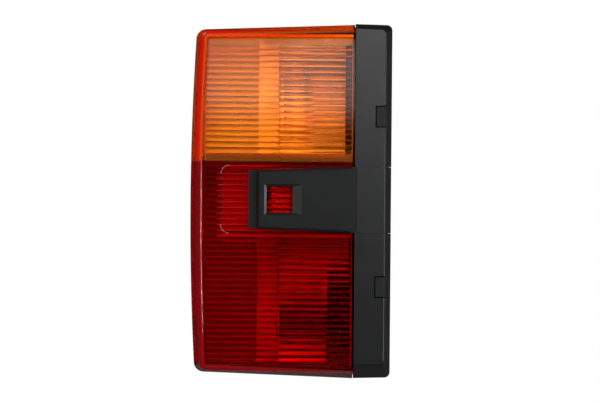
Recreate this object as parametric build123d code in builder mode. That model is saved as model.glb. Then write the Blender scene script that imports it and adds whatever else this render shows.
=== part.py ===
from build123d import *
import os
from math import cos, hypot, radians, sin

os.makedirs("parts", exist_ok=True)

# A car's tail light cluster, lens to the front. x runs to the right as seen from the front, y runs
# into the car body and z runs up. The origin is the middle of the four studs, on the body panel.

# Fits
FIT = 0.3  # clearance between two pieces that slide together
PRESS_PLAY = 0.1  # play of studs and rivets in their holes
SNAP_GAP = 0.8  # open slot round each snap tongue
SIDE_GAP = 0.5  # open joint between the lens and the side cover
SEAM_GAP = 0.2  # open joint between the centre panel and the side cover
GLUE_GAP = 0.1  # glue line between the amber and the red lens

# Stack from the body panel forwards
GASKET_THICKNESS = 3.0
FLANGE_THICKNESS = 3.0
SEAL_THICKNESS = 1.2
LENS_DEPTH = 37.0
COVER_PROUD = 2.6  # the black covers stand this far in front of the lens

# Lens outline. The rim is the widest outline, the face is set in from it by sloping walls.
LENS_LEFT = -71.4
LENS_RIGHT = 44.4
LENS_HALF_HEIGHT = 123.8  # at x = 0
LENS_TAPER = 0.0363  # growth of the half height per mm to the right
LENS_BOW_RADIUS = 2080.0  # the left edge bows outwards
LENS_CORNER = 7.0
LENS_WALL = 2.8
SIDE_WALL = 1.2  # wall of the lens beside the side cover
FACE_STEP = 4.3  # face half height below rim half height
FACE_INSET = 4.0  # face left edge inside rim left edge
FACE_ROUNDING = 6.0

# Flutes on the inside of the lens
FLUTE_PITCH = 4.0
FLUTE_HEIGHT = 0.7
FLUTE_MARGIN = 1.2

# Joint between amber and red, with a red lip behind the amber
SEAM_Z = 27.7
LIP_HEIGHT = 5.8
LIP_THICKNESS = 0.7
LIP_ROOT = 2.5

# Centre panel, its pocket in the red lens and its window
PANEL_TOP = 24.4
PANEL_BOTTOM = -22.2
PANEL_TAPER = 0.04
PANEL_LEFT = -24.0
PANEL_WALL = 1.8
PANEL_BEVEL = 1.5
PANEL_LIP = 6.0
PANEL_LIP_THICKNESS = 1.7
PANEL_GROOVE = 2.6
PANEL_GROOVE_DEPTH = 1.0
POCKET_LEFT = -48.4
POCKET_DEPTH = 1.4
POCKET_MARGIN = 1.2
POCKET_TAPER = 0.017
POCKET_CORNER = 5.0
POCKET_SLOPE = 40.0
WINDOW_X = -8.0
WINDOW_Z = 1.0
WINDOW_SIZE = 18.3
WINDOW_RELIEF = 1.7
WINDOW_RELIEF_RIGHT = 6.5
WINDOW_RELIEF_DEPTH = 0.9

# Side cover
COVER_FACE_WIDTH = 21.5
COVER_TILT = 2.4  # the front falls back by this towards the right
COVER_FLARE = 4.7
COVER_RISE = 2.4  # top of the cover above the lens
COVER_FALL = 1.6  # bottom of the cover below the lens
COVER_TAPER = 0.03
COVER_TOP_FLARE = 4.0
COVER_BOTTOM_FLARE = 10.0
COVER_CORNER = 4.0
COVER_WALL = 2.2
COVER_EDGE = 0.9
COVER_REACH = 2.4  # the cover's rim laps over the flange edge by this
WING_SHORT = 0.5  # the centre panel's side leg ends this far before the cover's rim
SNAP_INSET = 63.8  # snap tongues inside the ends of the lens
SNAP_HEIGHT = 15.5
SNAP_WIDTH = 7.3
SNAP_DEPTH = 12.0
TONGUE_THICKNESS = 2.0

# Housing
FLANGE_INSET = 1.6  # edge of the flange inside the rim of the lens
TUB_WALL = 2.5
TUB_INSET = 0.6  # right side of the tub inside the right side of the lens
TUB_CORNER = 4.0
WELD_RIM = 2.4  # rim round the mouth of the tub
WELD_RIM_THICKNESS = 1.8
PAN_LEFT = -23.5
PAN_FLOOR_LEFT = -10.0
PAN_TOP_INSET = 13.5  # ends of the pans inside the ends of the lens
PAN_BOTTOM_INSET = 10.9
TURN_WEB_LEFT = 38.2  # webs of the flange hide the lamp holders
STOP_WEB_LEFT = 26.0
STOP_WEB_RISE = 28.5  # top of the lower web above the bulb
PARTITION = 2.0
PARTITION_RISE = 1.5  # upper partition above the lens seam
LOWER_PARTITION_Z = -27.0
GASKET_INSET = 1.5
GASKET_CLEARANCE = 2.0
RIB_COUNT = 7
RIB_HEIGHT = 2.5
RIB_THICKNESS = 2.0
RIB_INSET = 6.0

# Studs
STUD_X = 57.0
STUD_INSET = 19.8  # studs inside the ends of the lens
STUD_RADIUS = 3.0
STUD_LENGTH = 22.0
STUD_ROOT = 4.8
STUD_ROOT_RADIUS = 3.7  # the pressed-in root is thicker than the thread
STUD_CHAMFER = 0.8
BOSS_RADIUS = 6.5

# Reflectors, parabolic troughs along the bulb axes
BULB_DEPTH = 17.0
REFLECTOR_FOCUS = 14.2
TURN_LAND = 10.5  # flat edge above the upper trough
INNER_LAND = 6.0  # flat edge of the upper trough at the seam
STOP_LAND = 2.6  # flat edge below the lower trough
FACET_DEPTH = 6.5  # slanted facet at the left end of a trough, then a steep wall
STEEP_RUN = 1.5
END_GAP = 1.0  # from the floor of the tub to the steep wall
REFLECTOR_WALL = 1.4

# Plate in front of the lower bulb and reflector block behind the window
SHIELD_LEFT = -8.0
SHIELD_RISE = 4.5  # top of the plate above the bulb's axis
SHIELD_HEIGHT = 26.5
SHIELD_LAP = 8.0  # the plate runs this far behind the web of the flange
SHIELD_THICKNESS = 1.0
SHIELD_CORNER = 1.5
BLOCK_MARGIN = 1.5
BLOCK_GAP = 2.0  # from the flutes to the ridge of the block
BLOCK_RIDGE = 1.8
BLOCK_RIDGE_STEP = 3.5  # ridge of the block left of the middle of the window

# Bulbs and holders, lying along x
TIP_GAP = 1.7  # from the steep wall of the reflector to the tip of the upper bulb
STOP_STEP = 7.4  # the lower bulb stands this far right of the upper one
GLASS_RADIUS = 11.0
GLASS_LENGTH = 21.5
GLASS_WALL = 0.8
GLASS_SHOULDER = 48.0
NECK_RADIUS = 6.4
NECK_LEAD = 0.5
NECK_DEPTH = 3.0
CAP_RADIUS = 7.5
CAP_LENGTH = 16.0
CAP_WALL = 0.8
CAP_BASE = 3.0
NUB_LENGTH = 1.8
PIN_X = 9.0
PIN_RADIUS = 1.0
PIN_REACH = 1.2
WIRE_RADIUS = 0.4
WIRE_SPREAD = 3.2
FILAMENT_RADIUS = 0.7
FILAMENT_STEP = 3.0  # second filament of the stop and tail bulb
SLEEVE_LEAD = 1.0
SLEEVE_WALL = 0.65
SLEEVE_INSERT = 7.0  # how far the sleeve runs into the holder behind the wall
SLOT_WIDTH = 2.8
BARREL_WALL = 1.3
BARREL_LEAD = 2.6
LUG_REACH = 2.0
LUG_WIDTH = 6.0
WASHER_THICKNESS = 1.4
HOLDER_FLANGE_RADIUS = 13.0
HOLDER_FLANGE = 2.6
HOLDER_BODY_RADIUS = 10.6
HOLDER_BODY = 11.0
HOLDER_END = 2.4
GRIP_COUNT = 12
GRIP_RADIUS = 0.9
RIVET_RADIUS = 1.2
RIVET_HEAD_RADIUS = 1.9
RIVET_HEAD = 0.8
RIVET_LENGTH = 5.0
RIVET_STEP = 3.2
BLADE_WIDTH = 6.3
BLADE_THICKNESS = 0.8
BLADE_LENGTH = 8.0
BLADE_ROOT = 1.6
BLADE_STEP = 4.6
BLADE_HOLE_RADIUS = 0.9
BLADE_HOLE_INSET = 3.0
BLADE_LEAD = 0.25

# Levels along y
flange_back = -GASKET_THICKNESS
flange_front = flange_back - FLANGE_THICKNESS
rim_y = flange_front - SEAL_THICKNESS
face_y = rim_y - LENS_DEPTH
inner_y = face_y + LENS_WALL
pocket_y = face_y + POCKET_DEPTH
cover_y = face_y - COVER_PROUD
cover_rim_y = flange_front + COVER_REACH
lip_y = inner_y + GLUE_GAP + LIP_THICKNESS
shelf_y = flange_front - REFLECTOR_WALL
pan_y = BULB_DEPTH + REFLECTOR_FOCUS + REFLECTOR_WALL + FIT
tub_y = pan_y + TUB_WALL
apex_y = BULB_DEPTH + REFLECTOR_FOCUS

# Places along x
cover_left = LENS_RIGHT + SIDE_GAP
cover_face_right = cover_left + COVER_FACE_WIDTH
cover_rim_right = cover_face_right + COVER_FLARE
cover_face_right_y = cover_y + COVER_TILT
flange_right = cover_rim_right - COVER_WALL - FIT
flute_left = LENS_LEFT + FACE_INSET + FACE_ROUNDING + FLUTE_MARGIN
flute_right = LENS_RIGHT - SIDE_WALL - FIT
tub_right = LENS_RIGHT - TUB_INSET
pan_right = tub_right - TUB_WALL
mouth_left = PAN_LEFT + FIT
steep_x = PAN_FLOOR_LEFT + END_GAP
facet_right = steep_x - STEEP_RUN
turn_cap_x = steep_x + REFLECTOR_WALL + TIP_GAP + GLASS_LENGTH
stop_cap_x = turn_cap_x + STOP_STEP
far = 3 * cover_rim_right  # beyond every side of the lamp

# Ends of the cover's snap windows and of the centre panel's side leg
snap_y = cover_face_right_y + SNAP_DEPTH
wing_y = cover_rim_y - WING_SHORT

# Lamp fits, from the cap outwards and from the wall of the tub backwards
sleeve_bore = CAP_RADIUS + FIT
holder_bore = sleeve_bore + SLEEVE_WALL + FIT
barrel_radius = holder_bore + BARREL_WALL
holder_front = pan_right - BARREL_LEAD
holder_seat = tub_right + WASHER_THICKNESS
sleeve_end = holder_seat + HOLDER_FLANGE + SLEEVE_INSERT
holder_back = holder_seat + HOLDER_FLANGE + HOLDER_BODY

# Places along z
face_half = LENS_HALF_HEIGHT - FACE_STEP
flute_half = face_half - FACE_ROUNDING - FLUTE_MARGIN / 2
upper_partition = SEAM_Z + PARTITION_RISE
turn_low = upper_partition + PARTITION
turn_high = LENS_HALF_HEIGHT - PAN_TOP_INSET
stop_low = PAN_BOTTOM_INSET - LENS_HALF_HEIGHT
stop_high = LOWER_PARTITION_Z - PARTITION / 2
middle_low = LOWER_PARTITION_Z + PARTITION / 2
tub_top = turn_high + TUB_WALL
tub_bottom = stop_low - TUB_WALL
trough_half = (turn_high - turn_low - 2 * FIT - TURN_LAND - INNER_LAND) / 2
turn_z = turn_high - FIT - TURN_LAND - trough_half
stop_z = stop_low + FIT + STOP_LAND + trough_half
stud_z = LENS_HALF_HEIGHT - STUD_INSET
snap_z = LENS_HALF_HEIGHT - SNAP_INSET
cover_top = LENS_HALF_HEIGHT + COVER_RISE
cover_bottom = -LENS_HALF_HEIGHT - COVER_FALL

# name, height, cap place, heights of the contacts, blade places and filament places off the axis
LAMPS = (
    ("turn", turn_z, turn_cap_x, (0.0,), (-BLADE_STEP, BLADE_STEP), (0.0,)),
    ("stop", stop_z, stop_cap_x, (-RIVET_STEP, RIVET_STEP), (-BLADE_STEP, 0.0, BLADE_STEP),
     (-FILAMENT_STEP, FILAMENT_STEP)),
)


def upright(y):
    """A plane facing forwards at depth y, with x to the right and z up."""
    return Plane.XZ.offset(-y)


def lens_outline(at_rim, grow=0.0, side=None):
    """The lens outline at its rim or at its face, moved outwards by grow and on the right by side."""
    half = LENS_HALF_HEIGHT if at_rim else face_half
    taper = LENS_TAPER if at_rim else 0.0
    left = LENS_LEFT if at_rim else LENS_LEFT + FACE_INSET
    half, left, right = half + grow, left - grow, LENS_RIGHT + (grow if side is None else side)
    corner_x = left + half * half / (2 * LENS_BOW_RADIUS)
    corner_z, right_z = half + taper * corner_x, half + taper * right
    with BuildSketch() as outline:
        with BuildLine():
            Polyline((corner_x, corner_z), (right, right_z), (right, -right_z), (corner_x, -corner_z))
            ThreePointArc((corner_x, -corner_z), (left, 0), (corner_x, corner_z))
        make_face()
        fillet(outline.vertices().sort_by(Axis.X)[:2], radius=LENS_CORNER + grow)
    return outline.sketch


def lens_form(grow, side, front_y, rounding):
    """The lens as a full block, its walls moved outwards by grow and on the right by side."""
    with BuildPart() as form:
        with BuildSketch(upright(rim_y)):
            add(lens_outline(True, grow, side))
        with BuildSketch(upright(front_y)):
            add(lens_outline(False, grow, side))
        loft(ruled=True)
        face_edges = form.faces().sort_by(Axis.Y)[0].edges()
        fillet([edge for edge in face_edges if edge.center().X < LENS_RIGHT + side - 1], radius=rounding)
    return form.part


def flute_bank(low, high):
    """A bank of flutes on the inside of the lens face, from one height up to another."""
    count = int((high - low) / FLUTE_PITCH)
    root, end = inner_y - LENS_WALL / 4, low + count * FLUTE_PITCH
    with BuildPart() as bank:
        with BuildSketch(Plane.YZ.offset(flute_left)):
            with BuildLine():
                for number in range(count):
                    z = low + number * FLUTE_PITCH
                    crest = (inner_y + FLUTE_HEIGHT, z + FLUTE_PITCH / 2)
                    ThreePointArc((inner_y, z), crest, (inner_y, z + FLUTE_PITCH))
                Polyline((inner_y, end), (root, end), (root, low), (inner_y, low))
            make_face()
        extrude(amount=flute_right - flute_left)
    return bank.part


def cover_form(inset):
    """The side cover as a full block, its front and sides moved in by inset."""
    length = hypot(COVER_TILT, COVER_FACE_WIDTH)
    across, back = COVER_FACE_WIDTH / length, COVER_TILT / length
    tilted = Plane(
        origin=(cover_left - back * inset, cover_y + across * inset, 0),
        x_dir=(across, back, 0),
        z_dir=(back, -across, 0),
    )
    top, bottom, drop = cover_top - inset, cover_bottom + inset, COVER_TAPER * COVER_FACE_WIDTH
    low, high = bottom + COVER_BOTTOM_FLARE, top - COVER_TOP_FLARE
    left, right = cover_left + inset, cover_rim_right - inset
    flare = COVER_FLARE / (cover_rim_y - cover_face_right_y)
    near, wide = inset * across, (COVER_FACE_WIDTH - inset + (back + flare) * inset) / across
    with BuildPart() as form:
        with BuildSketch(tilted):
            Polygon((near, low), (wide, low + drop), (wide, high - drop), (near, high), align=None)
        with BuildSketch(upright(cover_rim_y)):
            Polygon((left, bottom), (right, bottom + drop), (right, top - drop), (left, top), align=None)
        loft(ruled=True)
    return form.part


def cover_front_at(x):
    return cover_y + COVER_TILT * (x - cover_left) / COVER_FACE_WIDTH


def cover_side_at(y):
    return cover_face_right + COVER_FLARE * (y - cover_face_right_y) / (cover_rim_y - cover_face_right_y)


def flange_outline(grow=0.0):
    """The outline of the flange, moved outwards by grow."""
    margin, drop = COVER_WALL + FIT - grow, COVER_TAPER * COVER_FACE_WIDTH
    left, right = LENS_RIGHT - LENS_CORNER, flange_right + grow
    top, bottom = cover_top - margin, cover_bottom + margin
    with BuildSketch() as outline:
        add(lens_outline(True, grow - FLANGE_INSET))
        Polygon((left, bottom), (right, bottom + drop), (right, top - drop), (left, top), align=None)
    return outline.sketch


def pan_side(grow, y):
    """Place of the tub's sloped left side at depth y, moved outwards by grow."""
    run = (PAN_FLOOR_LEFT - PAN_LEFT) / (pan_y - flange_front)
    return PAN_LEFT + run * (y - flange_front) - grow * hypot(1, run)


def pan_outline(grow, front, back, right):
    """The tub's hollow seen from above between two depths, its left side moved outwards by grow."""
    with BuildSketch() as outline:
        Polygon(
            (pan_side(grow, front), front),
            (right, front),
            (right, back),
            (pan_side(grow, back), back),
            align=None,
        )
    return outline.sketch


def pan_block(grow, front, back, low, high, right=pan_right):
    """A full block of the tub's section between two depths and two heights."""
    with BuildPart() as block:
        with BuildSketch(Plane.XY.offset(low)):
            add(pan_outline(grow, front, back, right))
        extrude(amount=high - low)
    return block.part


def box_between(low, high):
    """A box between two opposite corners."""
    with BuildPart() as block:
        with Locations(tuple((a + b) / 2 for a, b in zip(low, high))):
            Box(*[b - a for a, b in zip(low, high)])
    return block.part


def cover_slice(inset, low, high):
    """The part of the cover form between two heights."""
    with BuildPart() as piece:
        add(cover_form(inset))
        add(box_between((-far, -far, low), (far, far, high)), mode=Mode.INTERSECT)
    return piece.part


def panel_outline(left, right, inset):
    """The centre panel's outline between two places along x, its long edges moved in by inset."""
    draw = [PANEL_TAPER * (LENS_RIGHT - x) + inset for x in (left, right)]
    with BuildSketch() as outline:
        Polygon(
            (left, PANEL_BOTTOM + draw[0]),
            (right, PANEL_BOTTOM + draw[1]),
            (right, PANEL_TOP - draw[1]),
            (left, PANEL_TOP - draw[0]),
            align=None,
        )
    return outline.sketch


def glass_curve(shrink):
    """End points and middles of the bulb's outline, from tip to neck, moved in by shrink."""
    middle, radius = GLASS_RADIUS - GLASS_LENGTH, GLASS_RADIUS - shrink
    angle = radians(GLASS_SHOULDER)
    shoulder = (middle + radius * cos(angle), radius * sin(angle))
    return (
        (middle - radius, 0),
        (middle, radius),
        shoulder,
        (sin(angle), -cos(angle)),
        (-NECK_LEAD, NECK_RADIUS - shrink),
        (NECK_DEPTH, NECK_RADIUS - shrink),
    )


def lamp_plane(z, x=0.0):
    """A plane through a lamp's axis, with the axis along its x."""
    return Plane(origin=(x, BULB_DEPTH, z), x_dir=(1, 0, 0), z_dir=(0, 0, 1))


def lamp_axis(z):
    return Axis((0, BULB_DEPTH, z), (1, 0, 0))


def across(z, x):
    """A plane square to a lamp's axis, with y and z as its own axes."""
    return Plane(origin=(x, BULB_DEPTH, z), x_dir=(0, 1, 0), z_dir=(1, 0, 0))


# Lens: one block with one hollow, parted at the seam
lens_outer = lens_form(0.0, 0.0, face_y, FACE_ROUNDING)
lens_inner = lens_form(-LENS_WALL, -SIDE_WALL, inner_y, FACE_ROUNDING - LENS_WALL)

with BuildPart() as amber_lens:
    add(lens_outer)
    add(lens_inner, mode=Mode.SUBTRACT)
    split(bisect_by=Plane.XY.offset(SEAM_Z + GLUE_GAP), keep=Keep.TOP)
    add(flute_bank(SEAM_Z + LIP_HEIGHT + FIT, flute_half))
amber_lens.part.label = "amber_lens"
export_step(amber_lens.part, "parts/amber_lens.step")

with BuildPart() as red_lens:
    add(lens_outer)
    add(lens_inner, mode=Mode.SUBTRACT)
    split(bisect_by=Plane.XY.offset(SEAM_Z), keep=Keep.BOTTOM)
    add(flute_bank(-flute_half, SEAM_Z - LIP_ROOT))
    for lip_front, lip_top in ((inner_y, SEAM_Z), (inner_y + GLUE_GAP, SEAM_Z + LIP_HEIGHT)):
        add(box_between((flute_left, lip_front, SEAM_Z - LIP_ROOT), (flute_right, lip_y, lip_top)))
    with BuildSketch(upright(pocket_y)):
        draw_in = POCKET_TAPER * (LENS_RIGHT - POCKET_LEFT)
        top, bottom = PANEL_TOP + POCKET_MARGIN, PANEL_BOTTOM - POCKET_MARGIN
        pocket = Polygon(
            (POCKET_LEFT, bottom + draw_in),
            (cover_left, bottom),
            (cover_left, top),
            (POCKET_LEFT, top - draw_in),
            align=None,
        )
        fillet(pocket.vertices().sort_by(Axis.X)[:2], radius=POCKET_CORNER)
    extrude(amount=POCKET_DEPTH, taper=-POCKET_SLOPE, mode=Mode.SUBTRACT)
red_lens.part.label = "red_lens"
export_step(red_lens.part, "parts/red_lens.step")

with BuildPart() as lens_seal:
    with BuildSketch(upright(flange_front)):
        add(lens_outline(True, -FLANGE_INSET, 0.0))
        add(lens_outline(True, -LENS_WALL - FIT, -SIDE_WALL - FIT), mode=Mode.SUBTRACT)
    extrude(amount=SEAL_THICKNESS)
lens_seal.part.label = "lens_seal"
export_step(lens_seal.part, "parts/lens_seal.step")

# Black covers, built from one shared form
seat_low, seat_high = PANEL_BOTTOM - SEAM_GAP, PANEL_TOP + SEAM_GAP
seat_inset = PANEL_WALL + FIT

with BuildPart() as cover_outer:
    add(cover_form(0.0))
    long_edges = [edge for edge in cover_outer.edges() if abs(edge.tangent_at(0.5).Y) > 0.8]
    fillet([edge for edge in long_edges if edge.center().X > cover_face_right], radius=COVER_CORNER)
    face_edges = cover_outer.faces().sort_by(Axis.Y)[0].edges()
    fillet([edge for edge in face_edges if edge.center().X > cover_left + 1], radius=COVER_EDGE)

with BuildPart() as seat_skin:
    add(box_between((0, -far, seat_low), (far, far, seat_high)))
    add(cover_form(seat_inset), mode=Mode.SUBTRACT)

with BuildPart() as side_cover:
    add(cover_outer.part)
    add(seat_skin.part, mode=Mode.SUBTRACT)
    low, high = seat_low - COVER_WALL, seat_high + COVER_WALL
    add(cover_slice(COVER_WALL, high, far), mode=Mode.SUBTRACT)
    add(cover_slice(COVER_WALL, -far, low), mode=Mode.SUBTRACT)
    add(cover_slice(seat_inset + COVER_WALL, low, high), mode=Mode.SUBTRACT)
    with BuildSketch(upright(cover_rim_y)):
        add(flange_outline(FIT))
    extrude(amount=COVER_REACH, mode=Mode.SUBTRACT)
    for z in (snap_z, -snap_z):
        low = (cover_face_right - SNAP_WIDTH, -far, z - SNAP_HEIGHT / 2)
        add(box_between(low, (far, snap_y, z + SNAP_HEIGHT / 2)), mode=Mode.SUBTRACT)
side_cover.part.label = "side_cover"
export_step(side_cover.part, "parts/side_cover.step")

with BuildPart() as wing:
    add(cover_outer.part)
    add(cover_form(PANEL_WALL), mode=Mode.SUBTRACT)
    add(box_between((-far, -far, PANEL_BOTTOM), (far, wing_y, PANEL_TOP)), mode=Mode.INTERSECT)
    behind = (cover_left + PANEL_WALL, far, far)
    add(box_between((-far, cover_y + PANEL_WALL, -far), behind), mode=Mode.SUBTRACT)

with BuildPart() as centre_panel:
    with BuildSketch(upright(pocket_y)):
        add(panel_outline(PANEL_LEFT, LENS_RIGHT, 0.0))
    extrude(amount=pocket_y - cover_y)
    face_edges = centre_panel.faces().sort_by(Axis.Y)[0].edges()
    chamfer([edge for edge in face_edges if edge.center().X < LENS_RIGHT - 1], length=PANEL_BEVEL)
    with BuildSketch(upright(pocket_y)):
        add(panel_outline(PANEL_LEFT - PANEL_LIP, PANEL_LEFT + PANEL_WALL, 0.0))
    extrude(amount=PANEL_LIP_THICKNESS)
    lip_face = pocket_y - PANEL_LIP_THICKNESS
    low = (PANEL_LEFT - PANEL_GROOVE, lip_face, -far)
    add(box_between(low, (PANEL_LEFT, lip_face + PANEL_GROOVE_DEPTH, far)), mode=Mode.SUBTRACT)
    with BuildSketch(upright(pocket_y)):
        add(panel_outline(PANEL_LEFT + PANEL_WALL, LENS_RIGHT - PANEL_WALL, PANEL_WALL))
        with Locations((WINDOW_X, WINDOW_Z)):
            Rectangle(WINDOW_SIZE + 2 * PANEL_WALL, WINDOW_SIZE + 2 * PANEL_WALL, mode=Mode.SUBTRACT)
    extrude(amount=pocket_y - cover_y - PANEL_WALL, mode=Mode.SUBTRACT)
    bridge = (cover_left + PANEL_WALL, cover_y + PANEL_WALL, PANEL_TOP)
    add(box_between((LENS_RIGHT - PANEL_WALL, cover_y, PANEL_BOTTOM), bridge))
    with BuildSketch(upright(cover_y)):
        with Locations((WINDOW_X + (WINDOW_RELIEF_RIGHT - WINDOW_RELIEF) / 2, WINDOW_Z)):
            Rectangle(WINDOW_SIZE + WINDOW_RELIEF + WINDOW_RELIEF_RIGHT, WINDOW_SIZE + 2 * WINDOW_RELIEF)
    with BuildSketch(upright(cover_y + WINDOW_RELIEF_DEPTH)):
        with Locations((WINDOW_X, WINDOW_Z)):
            Rectangle(WINDOW_SIZE, WINDOW_SIZE)
    loft(ruled=True, mode=Mode.SUBTRACT)
    with Locations((WINDOW_X, cover_y, WINDOW_Z)):
        Box(WINDOW_SIZE, far, WINDOW_SIZE, mode=Mode.SUBTRACT)
    add(wing.part)
centre_panel.part.label = "centre_panel"
export_step(centre_panel.part, "parts/centre_panel.step")

# Housing: flange with a mouth for each pan, bosses and snap tongues
stud_places = [(x, z) for x in (-STUD_X, STUD_X) for z in (-stud_z, stud_z)]
pans = ((stop_low, stop_high), (middle_low, upper_partition), (turn_low, turn_high))
web_top = stop_z + STOP_WEB_RISE
mouths = (
    (stop_low, web_top, STOP_WEB_LEFT),
    (web_top, stop_high, pan_right),
    (middle_low, upper_partition, pan_right),
    (turn_low, turn_high, TURN_WEB_LEFT),
)

with BuildPart() as housing:
    with BuildSketch(upright(flange_back)):
        add(flange_outline())
    extrude(amount=FLANGE_THICKNESS)
    for low, high, right in mouths:
        add(pan_block(0.0, flange_front - 1, flange_back, low, high, right), mode=Mode.SUBTRACT)
    with BuildSketch(upright(0)):
        with Locations(*stud_places):
            Circle(BOSS_RADIUS)
    extrude(amount=GASKET_THICKNESS)
    with BuildSketch(upright(0)):
        with Locations(*stud_places):
            Circle(STUD_ROOT_RADIUS + PRESS_PLAY)
    extrude(amount=STUD_ROOT, mode=Mode.SUBTRACT)
    for z in (snap_z, -snap_z):
        with BuildSketch(Plane.XY.offset(z - SNAP_HEIGHT / 2 + SNAP_GAP)):
            left, end = cover_face_right - SNAP_WIDTH + SNAP_GAP, snap_y - SNAP_GAP
            inside = COVER_WALL + FIT
            back = cover_face_right_y + COVER_WALL
            head = Polygon(
                (left, cover_front_at(left)),
                (cover_face_right, cover_face_right_y),
                (cover_side_at(end), end),
                (cover_side_at(end) - inside, end),
                (cover_side_at(flange_front) - inside, flange_front),
                (cover_side_at(flange_front) - inside, flange_back),
                (cover_side_at(flange_front) - inside - TONGUE_THICKNESS, flange_back),
                (cover_side_at(flange_front) - inside - TONGUE_THICKNESS, flange_front),
                (cover_side_at(back) - inside - TONGUE_THICKNESS, back),
                (left, back),
                align=None,
            )
            fillet(head.vertices().sort_by(Axis.Y)[1:2], radius=COVER_EDGE)
        extrude(amount=SNAP_HEIGHT - 2 * SNAP_GAP)
housing.part.label = "housing"
export_step(housing.part, "parts/housing.step")

# Tub: three pans with a weld rim, stiffening ribs and the lamp holes
with BuildPart() as tub_block:
    add(pan_block(TUB_WALL, flange_back, tub_y, tub_bottom, tub_top, tub_right))
    fillet([edge for edge in tub_block.edges() if abs(edge.tangent_at(0.5).Y) > 0.8], radius=TUB_CORNER)
    fillet(tub_block.faces().sort_by(Axis.Y)[-1].edges(), radius=TUB_CORNER / 2)

with BuildPart() as tub:
    add(tub_block.part)
    with BuildSketch(upright(flange_back)):
        left, right = pan_side(TUB_WALL, flange_back) - WELD_RIM, tub_right + WELD_RIM
        with Locations(((left + right) / 2, (tub_bottom + tub_top) / 2)):
            RectangleRounded(right - left, tub_top - tub_bottom + 2 * WELD_RIM, TUB_CORNER + WELD_RIM)
    extrude(amount=-WELD_RIM_THICKNESS)
    for number in range(RIB_COUNT):
        z = tub_bottom + RIB_INSET + number * (tub_top - tub_bottom - 2 * RIB_INSET) / (RIB_COUNT - 1)
        low = (PAN_FLOOR_LEFT + RIB_INSET, pan_y, z - RIB_THICKNESS / 2)
        add(box_between(low, (tub_right - RIB_INSET, tub_y + RIB_HEIGHT, z + RIB_THICKNESS / 2)))
    for low, high in pans:
        add(pan_block(0.0, flange_back - 1, pan_y, low, high), mode=Mode.SUBTRACT)
    for lamp, z, *rest in LAMPS:
        with BuildSketch(across(z, pan_right - 1)):
            Circle(barrel_radius + FIT)
            Rectangle(2 * (barrel_radius + LUG_REACH + FIT), LUG_WIDTH + 2 * FIT)
        extrude(amount=TUB_WALL + 2, mode=Mode.SUBTRACT)
tub.part.label = "tub"
export_step(tub.part, "parts/tub.step")

with BuildPart() as body_gasket:
    with BuildSketch(upright(0)):
        add(flange_outline(-GASKET_INSET))
        room = WELD_RIM + GASKET_CLEARANCE
        left, right = pan_side(TUB_WALL, flange_back) - room, tub_right + room
        low, high = tub_bottom - room, tub_top + room
        with Locations(((left + right) / 2, (low + high) / 2)):
            RectangleRounded(right - left, high - low, TUB_CORNER + room, mode=Mode.SUBTRACT)
        with Locations(*stud_places):
            Circle(BOSS_RADIUS + FIT, mode=Mode.SUBTRACT)
    extrude(amount=GASKET_THICKNESS)
body_gasket.part.label = "body_gasket"
export_step(body_gasket.part, "parts/body_gasket.step")

with BuildPart() as mounting_studs:
    with BuildSketch(upright(0)):
        with Locations(*stud_places):
            Circle(STUD_ROOT_RADIUS)
    extrude(amount=STUD_ROOT)
    with BuildSketch(upright(0)):
        with Locations(*stud_places):
            Circle(STUD_RADIUS)
    extrude(amount=-STUD_LENGTH)
    ends = [edge for edge in mounting_studs.edges() if edge.center().Y > STUD_LENGTH - 1 and edge.is_closed]
    chamfer(ends, length=STUD_CHAMFER)
mounting_studs.part.label = "mounting_studs"
export_step(mounting_studs.part, "parts/mounting_studs.step")

# Reflectors: a parabolic trough with lands and an end wall of two facets. The upper one also has a flat
# shelf that lies on the flange and carries the partition between the amber and the red light.
trough_y = apex_y - trough_half**2 / (4 * REFLECTOR_FOCUS)
facet_y = flange_front + FACET_DEPTH
shelf_inset, shelf_side = LENS_WALL + 2 * FIT, SIDE_WALL + 2 * FIT
shelf_right = LENS_RIGHT - shelf_side
wall_left = LENS_LEFT + shelf_inset


def shelf_outline(low, high, mouth, mouth_low, mouth_high):
    """A shelf on the flange between two heights, open to the right of mouth for one of the pans."""
    with BuildSketch() as outline:
        add(lens_outline(True, -shelf_inset, -shelf_side))
        with Locations((0, (low + high) / 2)):
            Rectangle(2 * far, high - low, mode=Mode.INTERSECT)
        with Locations((mouth + far, (mouth_low + mouth_high) / 2)):
            Rectangle(2 * far, mouth_high - mouth_low, mode=Mode.SUBTRACT)
    return outline.sketch


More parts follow.
